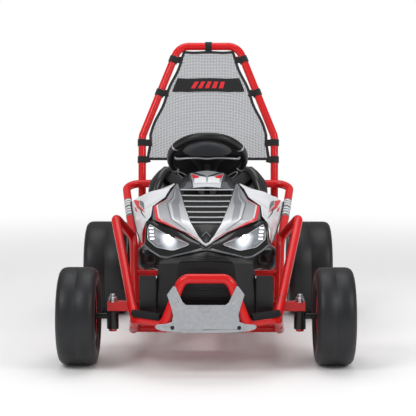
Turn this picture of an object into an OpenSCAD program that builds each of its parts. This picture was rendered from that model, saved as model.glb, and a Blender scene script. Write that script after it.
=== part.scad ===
// Electric drift kart for a child: tubular frame, plastic nose, bucket seat and roll hoop.
// The front of the kart points to -Y and left is the driver's left, +X.
// Points in tables are [x, station, z]: station is the distance behind the front axle.

/* [Chassis] */
// Distance between the front and rear axles
wheelbase = 770; // [750:5:790]
// Distance from the front axle forward to the face of the bumper plate
front_overhang = 167; // [165:1:175]
// Outer diameter of the main frame tubes
tube_d = 25; // [22:0.5:26]
// Height of the centre line of the front tube
front_tube_z = 141; // [138:1:143]
// Height of the centre line of the lower rails behind the front axle
rail_z = 80; // [76:1:84]
// Half of the distance between the lower rails at the rear
rail_x = 212; // [208:1:214]
// Outer diameter of the cross tubes under the seat
cross_tube_d = 22; // [18:0.5:23]

/* [Wheels] */
// Outer diameter of a front tyre
front_tyre_d = 266; // [256:2:270]
// Width of a front tyre
front_tyre_w = 105; // [100:1:108]
// Outer diameter of a rear tyre
rear_tyre_d = 300; // [290:2:306]
// Width of a rear tyre
rear_tyre_w = 140; // [132:1:142]
// Width of the kart over its tyres
overall_width = 800; // [796:1:804]
// Height of a front tyre from its rim to its tread
front_tyre_h = 47; // [44:1:50]
// Height of a rear tyre from its rim to its tread
rear_tyre_h = 54; // [50:1:58]
// Wall of the rim barrels
rim_wall = 6; // [4:0.5:8]
// Diameter of the wheel hubs
hub_d = 46; // [42:1:50]
// Diameter of the axle pins in the wheel hubs
axle_d = 16; // [14:0.5:18]

/* [Steering] */
// Station of the centre of the steering wheel
wheel_station = 400; // [390:2:410]
// Height of the centre of the steering wheel
wheel_z = 535; // [528:1:542]
// Lean of the steering column from the vertical
column_lean = 40; // [38:0.5:42]
// Outer diameter of the steering wheel
wheel_d = 244; // [230:2:250]
// Thickness of the steering wheel rim
wheel_rim_d = 24; // [20:1:26]
// Diameter of the steering shaft
shaft_d = 18; // [16:0.5:20]
// Distance of the kingpins inside the middle of a front tyre
kingpin_inset = 92.5; // [90:0.5:95]
// Diameter of the kingpins
kingpin_d = 12; // [10:0.5:14]
// Length of the steering arms from pivot to rod eye
arm_len = 56; // [52:1:60]
// Diameter of the tie rods
tie_rod_d = 10; // [8:0.5:12]

/* [Front axle] */
// Side of the square front beam
beam_side = 25; // [22:0.5:26]
// Height of the centre line of the front beam
beam_z = 161; // [160:0.5:163]
// Length of the front beam beyond a kingpin
beam_over = 14; // [12:0.5:17]

/* [Roll hoop] */
// Height of the centre line of the hoop's top tube
hoop_top_z = 872; // [860:1:880]
// Half width between the hoop's top corners
hoop_top_x = 97; // [90:1:105]
// Height of the bend between the hoop's legs and its leaning sides
hoop_bend_z = 580; // [570:1:590]
// Height of the rear crossbar
crossbar_z = 432; // [428:1:436]

/* [Body] */
// Thickness of the plastic panels
panel_t = 3; // [2.5:0.25:3.5]
// Thickness of the seat shell
seat_t = 5; // [4:0.5:6]
// Thickness of the bumper plate
plate_t = 4; // [3:0.5:5]

/* [Fits] */
// Gap between welded or bolted pieces
seam = 0.2; // [0.1:0.05:0.3]
// Gap under pieces that rest on others
rest_gap = 0.3; // [0.2:0.05:0.4]
// Running gap round pins and shafts
run_gap = 0.4; // [0.3:0.05:0.6]

/* [Hidden] */
$fn = 48;

front_axle_y = (front_overhang - wheelbase - rear_tyre_d / 2) / 2;
rear_axle_y = front_axle_y + wheelbase;
tube_r = tube_d / 2;
front_rim_d = front_tyre_d - 2 * front_tyre_h;
rear_rim_d = rear_tyre_d - 2 * rear_tyre_h;
front_axle_z = front_tyre_d / 2;
rear_axle_z = rear_tyre_d / 2;
front_wheel_x = (overall_width - front_tyre_w) / 2;
rear_wheel_x = (overall_width - rear_tyre_w) / 2;
kingpin_x = front_wheel_x - kingpin_inset;
beam_half = kingpin_x + beam_over;
// The tables of points are written for this [width, wheelbase], and stretch to the ones set above
written_for = [800, 770];
wide = overall_width / written_for[0];
long = wheelbase / written_for[1];
red = "#d8151c";
black = "#1b1c1f";
silver = "#b9bcc1";
white = "#ececec";

// Points and directions

function at_station(s) = front_axle_y + (s > 0 ? s * long : s);
function st(p) = [p[0] * wide, at_station(p[1]), p[2]];
function mirror_x(p) = [-p[0], p[1], p[2]];
function unit(v) = v / norm(v);
function side_axis(d) = unit(abs(d[2]) < 0.9 ? cross([0, 0, 1], d) : cross([1, 0, 0], d));
function placed(x, y, z, o) = [[x[0], y[0], z[0], o[0]], [x[1], y[1], z[1], o[1]],
    [x[2], y[2], z[2], o[2]], [0, 0, 0, 1]];
function reversed(list) = [for (i = [len(list) - 1:-1:0]) list[i]];
// A run that is the same on both sides, from the given half, which starts near the centre plane
function both_sides(half) = concat([for (p = reversed(half)) mirror_x(p)], half);

// Round bar from a to b
module rod(a, b, r) {
    d = unit(b - a);
    x = side_axis(d);
    multmatrix(placed(x, cross(d, x), d, a)) cylinder(h = norm(b - a), r = r);
}

// Quarter of a ring, or less, that turns a tube from direction d1 to direction d2 round p
module elbow(p, d1, d2, bend, r) {
    turn = acos(d1 * d2);
    inward = unit(d2 - (d1 * d2) * d1);
    centre = p - d1 * bend * tan(turn / 2) + inward * bend;
    multmatrix(placed(-inward, d1, cross(-inward, d1), centre))
        rotate_extrude(angle = turn) translate([bend, 0]) circle(r = r);
}

// Bent tube through the points, with one bend radius at its corners.
// Each straight runs a little way into the elbows, which are a hair thicker than it.
bend_lap = 1;
bend_lip = 0.1;
module tube_run(pts, bend, r) {
    last = len(pts) - 1;
    dirs = [for (i = [0:last - 1]) unit(pts[i + 1] - pts[i])];
    trims = [for (i = [0:last]) i == 0 || i == last ? 0 :
        bend * tan(acos(dirs[i - 1] * dirs[i]) / 2) - bend_lap];
    for (i = [0:last - 1]) rod(pts[i] + dirs[i] * trims[i], pts[i + 1] - dirs[i] * trims[i + 1], r);
    for (i = [1:last - 1]) elbow(pts[i], dirs[i - 1], dirs[i], bend, r + bend_lip);
}

// Panel of even thickness under a grid of points: rows run one way, columns the other
function grid_normal(g, i, j) =
    let (r = len(g) - 1, c = len(g[0]) - 1)
    unit(cross(g[min(i + 1, r)][j] - g[max(i - 1, 0)][j], g[i][min(j + 1, c)] - g[i][max(j - 1, 0)]));

module panel(g, t) {
    rows = len(g);
    cols = len(g[0]);
    n = rows * cols;
    outer = [for (row = g, p = row) p];
    inner = [for (i = [0:rows - 1], j = [0:cols - 1]) g[i][j] - grid_normal(g, i, j) * t];
    function at(i, j) = i * cols + j;
    cells = [for (i = [0:rows - 2], j = [0:cols - 2])
        [at(i, j), at(i + 1, j), at(i + 1, j + 1), at(i, j + 1)]];
    top = [for (q = cells) each [[q[0], q[2], q[1]], [q[0], q[3], q[2]]]];
    under = [for (q = cells) each [[q[0] + n, q[1] + n, q[2] + n], [q[0] + n, q[2] + n, q[3] + n]]];
    rim = concat([for (j = [0:cols - 1]) at(0, j)], [for (i = [1:rows - 1]) at(i, cols - 1)],
        [for (j = [cols - 2:-1:0]) at(rows - 1, j)], [for (i = [rows - 2:-1:1]) at(i, 0)]);
    edge = [for (k = [0:len(rim) - 1]) let (a = rim[k], b = rim[(k + 1) % len(rim)])
        each [[a, b + n, b], [a, a + n, b + n]]];
    polyhedron(concat(outer, inner), concat(top, under, edge));
}

// Grid of table points as points of the kart
function stations(g) = [for (row = g) [for (p = row) st(p)]];

module left_and_right() {
    children();
    mirror([1, 0, 0]) children();
}

// Frame

// Half of the lower tube from its front to the rear end of a rail: [x, station, z]
corner_x = 190;
corner_station = -85;
rail_end = 735;
lower_half = [[112, -128, front_tube_z], [corner_x, corner_station, front_tube_z], [204, 80, rail_z],
    [rail_x, rail_end, rail_z]];
lower_bend = 45;
// Stations of the cross tubes: behind the front axle, two under the seat and the rear one
cross_stations = [95, 380, 560, 715];
cross_half = 205;
spine_w = 44;
spine_h = 18;

module lower_loop(r) tube_run([for (p = both_sides(lower_half)) st(p)], lower_bend, r);
module cross_tube(s, r) rod(st([-cross_half, s, rail_z]), st([cross_half, s, rail_z]), r);

module lower_frame() {
    color(red) {
        lower_loop(tube_r);
        for (s = cross_stations) cross_tube(s, cross_tube_d / 2);
        translate([-spine_w / 2, at_station(cross_stations[0]), rail_z - spine_h / 2])
            cube([spine_w, (cross_stations[3] - cross_stations[0]) * long, spine_h]);
    }
}

// Side rails and rear crossbar, one bent tube that stands on the lower rails
rail_foot = [199, 70, rail_z + 4];
rail_knee = [214, 290, 285];
bar_corner = [265, 696, crossbar_z];
rail_bend = 45;
module side_rails() {
    color(red) difference() {
        tube_run([for (p = both_sides([bar_corner, rail_knee, rail_foot])) st(p)], rail_bend, tube_r);
        lower_loop(tube_r + seam);
        cross_tube(cross_stations[0], cross_tube_d / 2 + seam);
    }
}

// Side guards, bent tubes from the front corners over a peak and back to the rails
guard_foot = [corner_x, corner_station, front_tube_z + 4];
guard_peak = [267, 258, 376];
guard_end = [221, 344, 305];
guard_bend = 30;
module side_guards() {
    color(red) left_and_right() difference() {
        tube_run([st(guard_foot), st(guard_peak), st(guard_end)], guard_bend, tube_r);
        lower_loop(tube_r + seam);
        tube_run([st(rail_foot), st(rail_knee), st(bar_corner)], rail_bend, tube_r + seam);
        beam_bar(seam);
    }
}

// Roll hoop: legs on the lower rails, leaning sides and a short top
hoop_foot = [rail_x, 655, rail_z + 4];
hoop_half = [[hoop_top_x, 842, hoop_top_z], [215, 760, hoop_bend_z], hoop_foot];
hoop_bend = 48;
module roll_hoop() {
    color(red) difference() {
        tube_run([for (p = both_sides(hoop_half)) st(p)], hoop_bend, tube_r);
        lower_loop(tube_r + seam);
    }
}

// Net in the hoop: rows from the top down, [half width, station, z]
net_rows = [[76, 840, 856.3], [194, 762, 585], [199, 750, 508]];
net_t = 2;
module back_net() {
    g = stations([for (r = net_rows) [[r[0], r[1], r[2]], [0, r[1], r[2]], [-r[0], r[1], r[2]]]]);
    color("#8d9094") panel(g, net_t);
}

// Straps that tie the net to the hoop, at these shares of a side and of a leg from its upper end
side_straps = [0.15, 0.52];
leg_straps = [0.04, 0.15];
strap_w = 22;
strap_t = 3;
module strap(p, d) {
    difference() {
        rod(st(p) - d * strap_w / 2, st(p) + d * strap_w / 2, tube_r + strap_t);
        rod(st(p) - d * strap_w, st(p) + d * strap_w, tube_r + bend_lip + seam);
    }
}
module straps(a, b, shares) {
    for (k = shares) strap(a + k * (b - a), unit(st(b) - st(a)));
}
module net_straps() {
    color(black) left_and_right() {
        straps(hoop_half[0], hoop_half[1], side_straps);
        straps(hoop_half[1], hoop_half[2], leg_straps);
    }
    color(black) strap([0, hoop_half[0][1], hoop_top_z], [1, 0, 0]);
}

// Front axle beam with its kingpins and the posts that carry it
post_x = 197;
post_side = 20;
post_low = 100;
module beam_bar(grow) {
    side = beam_side + 2 * grow;
    translate([-beam_half - grow, front_axle_y - side / 2, beam_z - side / 2])
        cube([2 * (beam_half + grow), side, side]);
}
// Kingpin with its nuts and washers from the bottom up: [lower end, diameter, length]
kingpin_low = 98;
beam_top = beam_z + beam_side / 2;
kingpin_parts = [[kingpin_low - 6, 22, 6], [kingpin_low, kingpin_d, beam_z - kingpin_low], [beam_top, 26, 3],
    [beam_top, 20, 12], [beam_top, kingpin_d, 20]];
module front_beam() {
    color(red) difference() {
        union() {
            beam_bar(0);
            left_and_right() translate([post_x * wide - post_side / 2, front_axle_y - post_side / 2, post_low])
                cube([post_side, post_side, beam_z - post_low]);
        }
        lower_loop(tube_r + seam);
    }
    color(silver) left_and_right() for (part = kingpin_parts)
        translate([kingpin_x, front_axle_y, part[0]]) cylinder(d = part[1], h = part[2]);
}

// Bumper: bent arch in front of the nose and a plate on its legs
arch_station = -150;
arch_half = [[61, arch_station, 260], [115, arch_station, front_tube_z - 19]];
arch_bend = 28;
module bumper_arch() {
    color(red) difference() {
        tube_run([for (p = both_sides(arch_half)) st(p)], arch_bend, tube_r);
        lower_loop(tube_r + seam);
    }
}

// Half of the plate's outline from the middle of its window down: [x, z]
plate_half = [[0, 193], [52, 193], [60, 200], [79, 241], [84, 243], [101, 220], [90, 187], [85, 166], [88, 148],
    [104, 143], [128, 141], [133, 135], [128, 129], [112, 124], [60, 120]];
plate_hole = [87, 133];
plate_hole_d = 8;
module bumper_plate() {
    outline = concat(plate_half, [for (p = reversed(plate_half)) [-p[0], p[1]]]);
    color(silver) translate([0, front_axle_y - front_overhang + plate_t, 0]) rotate([90, 0, 0])
        difference() {
            linear_extrude(plate_t) polygon(outline);
            for (side = [-1, 1]) translate([side * plate_hole[0], plate_hole[1], -1])
                cylinder(d = plate_hole_d, h = plate_t + 2);
        }
}

// Foam covered bars that the driver's heels rest on, seated on the front tube
foot_d = 20;
foot_z = front_tube_z + tube_r + bend_lip + foot_d / 2 + rest_gap;
foot_in = [124, -121.5, foot_z];
foot_out = [179, -91.2, foot_z];
module foot_bars() {
    color(black) left_and_right() rod(st(foot_in), st(foot_out), foot_d / 2);
}

// Pedals: tall pads on short arms that are bolted to the front of the beam
pedal_x = 158;
pedal_size = [40, 8, 98];
pedal_station = -62;
pedal_low = 153;
arm_side = 14;
arm_sunk = 1;
module pedal() {
    color(black) {
        translate([pedal_x * wide - pedal_size[0] / 2, at_station(pedal_station) - pedal_size[1], pedal_low])
            cube(pedal_size);
        translate([pedal_x * wide - arm_side / 2, at_station(pedal_station) - arm_sunk, beam_z - arm_side / 2])
            cube([arm_side, arm_sunk - pedal_station - beam_side / 2 - seam, arm_side]);
    }
}
module accelerator_pedal() mirror([1, 0, 0]) pedal();
module brake_pedal() pedal();

// Nose

// Upright black panel behind the bumper, bolted to the front of the beam: rows from the top down,
// [half width, front, bow to the middle, side, height at the side, rise to the middle]
shield_rows = [[84, -60.5, 15, -44.5, 301.8, 23.6], [116, -80, 6, -58, 286, 10], [132, -92, 3, -60, 205, 0],
    [136, -92, 3, -60, 140, 0]];
shield_end = -beam_side / 2 - rest_gap;
module front_shield() {
    g = stations([for (r = shield_rows) let (w = r[0], z = r[4])
        [[-w, shield_end, z], [-w, r[3], z], [-w * 0.6, r[1], z + r[5] * 0.4], [0, r[1] - r[2], z + r[5]],
        [w * 0.6, r[1], z + r[5] * 0.4], [w, r[3], z], [w, shield_end, z]]]);
    color(black) panel(g, panel_t);
}

// Lamp mask with an opening for each lamp: columns from the centre out, lower edge then upper edge
mask_cols = [[[0, -79, 326], [0, -72, 336]], [[42, -68, 317], [42, -24, 352]], [[86, -47, 304], [86, 20, 371]],
    [[128, -10, 301], [128, 57, 385]], [[176, 38, 321], [168, 66, 386]]];
function mask_grid() = let (half = [for (c = mask_cols) [c[0], (c[0] + c[1]) / 2 - [0, 6, 0], c[1]]])
    stations(concat([for (i = [len(half) - 1:-1:1]) [for (p = half[i]) mirror_x(p)]], half));
lamp_outline = [[41, 336.5], [122, 359], [158, 379], [163, 337], [135, 320], [90, 316]];
lamp_middle = [122, 346];
lamp_depth = 14;
lamp_gap = 0.99;
// Prism through a lamp, shrunk by k about its middle
module lamp_prism(k) {
    translate([0, front_axle_y + 120, 0]) rotate([90, 0, 0]) linear_extrude(260)
        polygon([for (p = lamp_outline) let (q = lamp_middle + (p - lamp_middle) * k) [q[0] * wide, q[1]]]);
}
module nose_mask() {
    color(black) difference() {
        panel(mask_grid(), panel_t);
        left_and_right() lamp_prism(1);
    }
}
module head_lamps() {
    color("#dfe5ea") left_and_right() intersection() {
        panel(mask_grid(), lamp_depth);
        lamp_prism(lamp_gap);
    }
}

// Hood: grey panels on both sides of the grille, rows from the tip up, [inner edge, crease, outer edge]
hood_rows = [[[4, -68, 339], [4, -69, 342], [4, -70, 338]], [[20, -47, 357], [41, -25, 366], [62, -1, 366]],
    [[42, 0, 388], [94, 28, 396], [147, 60, 391]], [[62, 100, 425], [106, 110, 431], [147, 127, 418]],
    [[69, 145, 440], [93, 150, 443], [115, 160, 433]], [[78, 200, 459], [92, 203, 461], [104, 205, 452]],
    [[82, 245, 470], [87, 248, 473], [90, 250, 469]]];
module hood_panels() {
    color("#9a9da2") left_and_right() panel(stations([for (r = hood_rows) reversed(r)]), panel_t);
}

// Grille: a tray between the inner edges of the hood panels, with slats across it.
// Rows from the tip up: [half width, station, z]
grille_rows = [[14, -52, 354], [42, 0, 388], [62, 100, 425], [78, 200, 459]];
grille_depth = 14;
grille_slats = 7;
slat_h = 4;
slat_z = [390, 457];
slat_sunk = 1;
function on_grille(z) = let (k = [for (i = [0:len(grille_rows) - 2]) if (grille_rows[i + 1][2] >= z) i][0])
    let (a = grille_rows[k], b = grille_rows[k + 1], f = (z - a[2]) / (b[2] - a[2])) a + f * (b - a);
module grille() {
    wall = panel_t - 1;
    gap = 4 * seam;
    g = [for (r = grille_rows)
        let (e = st([r[0] - wall - gap, r[1], r[2] - slat_sunk]), f = e - [seam, 0, grille_depth])
        [e, f, mirror_x(f), mirror_x(e)]];
    color(black) panel(g, wall);
    color(silver) for (k = [0:grille_slats - 1]) {
        p = on_grille(slat_z[0] + k * (slat_z[1] - slat_z[0]) / (grille_slats - 1));
        w = (p[0] - wall - gap) * wide + seam;
        translate([-w, at_station(p[1]) - slat_h / 2, p[2] - grille_depth + slat_sunk])
            cube([2 * w, slat_h, grille_depth - slat_sunk]);
    }
}

// White side panels: rows from the lamp back, [inner, middle and outer point]
side_rows = [[[171, 68, 386], [184, 84, 355], [189, 102, 319]],
    [[157, 90, 398], [182, 120, 368], [198, 155, 342]],
    [[153, 135, 422], [187, 165, 397], [209, 215, 370]], [[119, 172, 443], [175, 212, 427], [217, 268, 394]],
    [[106, 225, 462], [168, 258, 447], [223, 312, 412]], [[94, 255, 473], [148, 284, 448], [203, 306, 428]]];
module side_panels() {
    color(white) left_and_right() panel(stations([for (r = side_rows) reversed(r)]), panel_t);
}

// Cowl over the steering shaft, with dark flanks down to the hood: rows from the grille back,
// [edge of the cowl, station, z, outer edge of the flank, its station, its z]
cowl_rows = [[41, 208, 463, 78.2, 206, 460.3], [52, 300, 499, 70, 290, 486], [48, 336, 490, 70, 338, 470]];
cowl_rise = 6;
flank_gap = 2.4;
dash_station = 338;
dash_half = 70;
dash_low = 395;
dash_high = 485;
dash_t = 4;
module cowl() {
    g = stations([for (r = cowl_rows) [[r[0], r[1], r[2]], [0, r[1], r[2] + cowl_rise], [-r[0], r[1], r[2]]]]);
    color(silver) panel(g, panel_t);
}
module dash_panel() {
    color(black) left_and_right()
        panel(stations([for (r = cowl_rows) [[r[3], r[4], r[5]], [r[0] + flank_gap, r[1], r[2] - 1]]]), panel_t);
    color(black) difference() {
        translate([-dash_half * wide, at_station(dash_station) + seam, dash_low])
            cube([2 * dash_half * wide, dash_t, dash_high - dash_low]);
        column_bore(30);
    }
}

// Steering axis

wheel_centre = st([0, wheel_station, wheel_z]);
column_up = [0, sin(column_lean), cos(column_lean)];
function on_column(d) = wheel_centre - column_up * d;
column_len = 480;
module column_bore(r) rod(on_column(column_len - 30), on_column(-10), r);

// Bar between the side rails, with two struts up to the bearing of the steering shaft
knee_bar = [230, 216, 217];
knee_bar_d = 18;
bearing_at = 180;
bearing_half = 30;
bearing_r = 16;
strut_x = 24;
strut_r = 7;
strut_top_x = 9;
support_end = 210;
module column_support() {
    color(red) difference() {
        union() {
            rod(st(mirror_x(knee_bar)), st(knee_bar), knee_bar_d / 2);
            rod(on_column(bearing_at - bearing_half), on_column(bearing_at + bearing_half), bearing_r);
            left_and_right()
                rod(st([strut_x, knee_bar[1], knee_bar[2]]), on_column(bearing_at) + [strut_top_x, 0, 0], strut_r);
        }
        column_bore(shaft_d / 2 + run_gap);
        left_and_right() tube_run([st(rail_foot), st(rail_knee), st(bar_corner)], rail_bend, tube_r + seam);
        left_and_right() translate([support_end * wide, front_axle_y, 0]) cube([60, 500, 500]);
    }
}

hub_under = 18;
drop_arm_r = 6;
drop_arm_at = column_len - 10;
module steering_column() {
    color(black) {
        rod(on_column(column_len), on_column(hub_under), shaft_d / 2);
        arm = on_column(drop_arm_at);
        rod(arm, arm + arm_len * [0, cos(column_lean), -sin(column_lean)], drop_arm_r);
    }
}

// Steering wheel in its own plane, with Y down its face and Z towards the driver: a ring with a closed web,
// a cover under its upper half, and a pad on the driver's side
web_under = 10;
web_t = 6;
hub_r = 34;
cover_half = [[0, -96], [34, -87], [60, -70], [78, -48], [72, -30], [40, -22], [0, -22]];
pad_low_r = 58;
pad_high_r = 46;
pad_h = 16;
module in_wheel_plane()
    multmatrix(placed([1, 0, 0], cross(column_up, [1, 0, 0]), column_up, wheel_centre)) children();
module steering_wheel() {
    ring = (wheel_d - wheel_rim_d) / 2;
    color(black) in_wheel_plane() {
        rotate_extrude() translate([ring, 0]) circle(d = wheel_rim_d);
        translate([0, 0, -web_under]) cylinder(r = ring, h = web_t);
        translate([0, 0, -hub_under]) cylinder(r = hub_r, h = hub_under - web_t);
        translate([0, 0, -hub_under]) linear_extrude(hub_under - web_t)
            polygon(concat(cover_half, [for (p = reversed(cover_half)) [-p[0], p[1]]]));
    }
}
module wheel_pad() {
    color(black) in_wheel_plane() translate([0, 0, web_t - web_under + seam])
        cylinder(r1 = pad_low_r, r2 = pad_high_r, h = pad_h);
}

// Knuckles: sleeve on the kingpin, stub axle and steering arm
knuckle_top = beam_z - beam_side / 2 - run_gap;
knuckle_d = 32;
stub_over = 26;
arm_z = 128;
arm_w = 18;
arm_t = 10;
eye_d = 22;
eye_bore = 8;
module knuckle() {
    eye_y = front_axle_y + arm_len;
    color(black) difference() {
        union() {
            translate([kingpin_x, front_axle_y, kingpin_low + run_gap])
                cylinder(d = knuckle_d, h = knuckle_top - kingpin_low - run_gap);
            rod([kingpin_x + 10, front_axle_y, front_axle_z],
                [front_wheel_x + stub_over, front_axle_y, front_axle_z], axle_d / 2);
            translate([kingpin_x - arm_w / 2, front_axle_y, arm_z - arm_t / 2]) cube([arm_w, arm_len, arm_t]);
            translate([kingpin_x, eye_y, arm_z - arm_t / 2]) cylinder(d = eye_d, h = arm_t);
        }
        translate([kingpin_x, front_axle_y, 0]) cylinder(d = kingpin_d + 2 * run_gap, h = 300);
        translate([kingpin_x, eye_y, 0]) cylinder(d = eye_bore, h = 300);
    }
}
module knuckle_left() knuckle();
module knuckle_right() mirror([1, 0, 0]) knuckle();

// Tie rods from the steering arms to the drop arm, with a pin in the steering arm
rod_z = arm_z + 12;
rod_inner_x = 16;
rod_eye_d = 18;
rod_eye_h = 12;
module tie_rod() {
    outer = [kingpin_x, front_axle_y + arm_len, rod_z];
    inner = [rod_inner_x, (on_column(drop_arm_at) + arm_len * [0, cos(column_lean), 0])[1], rod_z];
    pin_low = arm_z - arm_t / 2;
    color(black) {
        rod(outer, inner, tie_rod_d / 2);
        translate([outer[0], outer[1], pin_low]) cylinder(d = eye_bore - 2 * run_gap, h = rod_z + 5 - pin_low);
        translate([outer[0], outer[1], rod_z - rod_eye_h / 2]) cylinder(d = rod_eye_d, h = rod_eye_h);
    }
}
module tie_rod_left() tie_rod();
module tie_rod_right() mirror([1, 0, 0]) tie_rod();

// Wheels

// Tyre with rounded shoulders, about the X axis at the origin
module tyre(d, w, rim_d) {
    r = d / 2;
    b = rim_d / 2 + seam;
    h = w / 2;
    color(black) rotate([0, 90, 0]) rotate_extrude($fn = 72) polygon([[b, -h + 14], [b + 12, -h + 6], [r - 34, -h],
        [r - 12, -h + 3], [r - 3, -h + 10], [r, -h + 20], [r, h - 20], [r - 3, h - 10], [r - 12, h - 3],
        [r - 34, h], [b + 12, h - 6], [b, h - 14]]);
}

// Rim with a barrel, spokes near its outer side and a hub with a through bore
spokes = 5;
spoke_w = 18;
spoke_t = 10;
spoke_in = 22;
spoke_lap = 4;
rim_inset = 12;
hub_inner = 18;
hub_outer = 4;
module rim(rim_d, w) {
    r = rim_d / 2;
    h = w / 2 - rim_inset;
    color(black) difference() {
        union() {
            rotate([0, 90, 0]) difference() {
                translate([0, 0, -h]) cylinder(r = r, h = 2 * h, $fn = 72);
                translate([0, 0, -h - 1]) cylinder(r = r - rim_wall, h = 2 * h + 2, $fn = 72);
            }
            rotate([0, 90, 0]) translate([0, 0, -hub_inner]) cylinder(d = hub_d, h = h + hub_inner - hub_outer);
            for (k = [0:spokes - 1]) rotate([k * 360 / spokes, 0, 0])
                translate([h - spoke_in, -spoke_w / 2, hub_d / 2 - spoke_lap])
                    cube([spoke_t, spoke_w, r - hub_d / 2 - rim_wall + 1.5 * spoke_lap]);
        }
        rotate([0, 90, 0]) translate([0, 0, -h]) cylinder(d = axle_d + 2 * run_gap, h = 2 * h);
    }
}
module front_wheel_place() translate([front_wheel_x, front_axle_y, front_axle_z]) children();
module rear_wheel_place() translate([rear_wheel_x, rear_axle_y, rear_axle_z]) children();
module tyre_front_left() front_wheel_place() tyre(front_tyre_d, front_tyre_w, front_rim_d);
module tyre_front_right() mirror([1, 0, 0]) tyre_front_left();
module tyre_rear_left() rear_wheel_place() tyre(rear_tyre_d, rear_tyre_w, rear_rim_d);
module tyre_rear_right() mirror([1, 0, 0]) tyre_rear_left();
module rim_front_left() front_wheel_place() rim(front_rim_d, front_tyre_w);
module rim_front_right() mirror([1, 0, 0]) rim_front_left();
module rim_rear_left() rear_wheel_place() rim(rear_rim_d, rear_tyre_w);
module rim_rear_right() mirror([1, 0, 0]) rim_rear_left();

// Seat

// Sections of the bucket from its front lip to its top: [station, z, half width, wall height, wall lean]
seat_rows = [[300, 218, 188, 40, 0], [360, 206, 196, 52, 0], [470, 200, 196, 56, 0], [545, 206, 190, 62, 14],
    [598, 240, 186, 56, 40], [622, 330, 182, 22, 48], [650, 430, 180, 8, 44], [668, 484, 140, 3, 24]];
function seat_grid() = stations([for (r = seat_rows) let (w = r[2])
    [[w, r[0] - r[4], r[1] + r[3]], [w - 10, r[0] - r[4] * 0.5, r[1] + r[3] * 0.4], [w * 0.7, r[0], r[1]],
    [0, r[0], r[1]], [-w * 0.7, r[0], r[1]], [-w + 10, r[0] - r[4] * 0.5, r[1] + r[3] * 0.4],
    [-w, r[0] - r[4], r[1] + r[3]]]]);
module seat_shell() {
    color(black) panel(seat_grid(), seat_t);
}

// Point [y, z] of the seat's middle line at row k, counted with a fraction, and lifted off the shell
function seat_line(k) = let (i = min(floor(k), len(seat_rows) - 2), a = seat_rows[i], b = seat_rows[i + 1])
    [at_station(a[0] + (k - i) * (b[0] - a[0])), a[1] + (k - i) * (b[1] - a[1])];
function seat_lifted(k, lift) = let (a = seat_line(max(k - 0.3, 0)), b = seat_line(k + 0.3), d = unit(b - a))
    seat_line(k) + lift * [-d[1], d[0]];
// Soft layer on the shell over a run of its rows, between x0 and x1
layer_steps = 8;
module seat_layer(run, x0, x1, lift, t) {
    step = (run[1] - run[0]) / layer_steps;
    panel([for (i = [0:layer_steps]) let (p = seat_lifted(run[0] + i * step, lift + t))
        [[x1, p[0], p[1]], [x0, p[0], p[1]]]], t);
}
seat_pad = [0.25, 2.9];
back_pad = [4.2, 6.5];
belt_run = [4.3, 6.45];
pad_lift = 1;
pad_t = 24;
pad_half = 118;
back_half = 110;
belt_t = 3;
belt_w = 36;
belt_x = 48;
belt_lift = pad_lift + pad_t + 0.5;
module seat_cushion() {
    color("#2a2b2f") seat_layer(seat_pad, -pad_half, pad_half, pad_lift, pad_t);
}
module back_cushion() {
    color("#2a2b2f") seat_layer(back_pad, -back_half, back_half, pad_lift, pad_t);
}
module seat_belt() {
    color(black) left_and_right() seat_layer(belt_run, belt_x, belt_x + belt_w, belt_lift, belt_t);
}

// Seat frame: cross bars on posts over the lower cross tubes, up to the underside of the seat
mount_x = 108;
mount_side = 20;
mount_tops = [199.1, 203.1];
module seat_mount() {
    h = mount_side / 2;
    color(red) for (k = [0, 1]) let (s = cross_stations[k + 1], top = mount_tops[k]) difference() {
        union() {
            translate([-mount_x - h, at_station(s) - h, top - mount_side])
                cube([2 * (mount_x + h), mount_side, mount_side]);
            for (side = [-1, 1]) translate([side * mount_x - h, at_station(s) - h, rail_z])
                cube([mount_side, mount_side, top - rail_z]);
        }
        cross_tube(s, cross_tube_d / 2 + seam);
        translate([-cross_half, at_station(s) - mount_side, rail_z - cross_tube_d])
            cube([2 * cross_half, 2 * mount_side, cross_tube_d]);
    }
}

battery_station = 400;
battery_size = [170, 140, 76];
module battery_box() {
    color(black) translate([-battery_size[0] / 2, at_station(battery_station), rail_z + spine_h / 2 + seam])
        cube(battery_size);
}

// Rear drive: a tube between two plates on the rear cross tube, with a motor inside each rear wheel
axle_tube_d = 32;
motor_gap = 14;
motor_len = 56;
motor_out = rear_wheel_x - rear_tyre_w / 2 - motor_gap;
axle_half = motor_out - motor_len;
plate_x = axle_half - 40;
plate_w = 8;
plate_low = rail_z + 2;
plate_back = 2;
module rear_axle() {
    front = at_station(cross_stations[3]) - 5;
    pin_half = rear_wheel_x + stub_over;
    color(black) difference() {
        union() {
            rod([-axle_half, rear_axle_y, rear_axle_z], [axle_half, rear_axle_y, rear_axle_z], axle_tube_d / 2);
            for (side = [-1, 1]) translate([side * plate_x - plate_w / 2, front, plate_low])
                cube([plate_w, rear_axle_y + plate_back - front, rear_axle_z - rail_z]);
            rod([-pin_half, rear_axle_y, rear_axle_z], [pin_half, rear_axle_y, rear_axle_z], axle_d / 2);
        }
        cross_tube(cross_stations[3], cross_tube_d / 2 + seam);
    }
}
motor_r = 42;
gearbox_r = 30;
gearbox_len = 95;
gearbox_off = 8;
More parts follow.
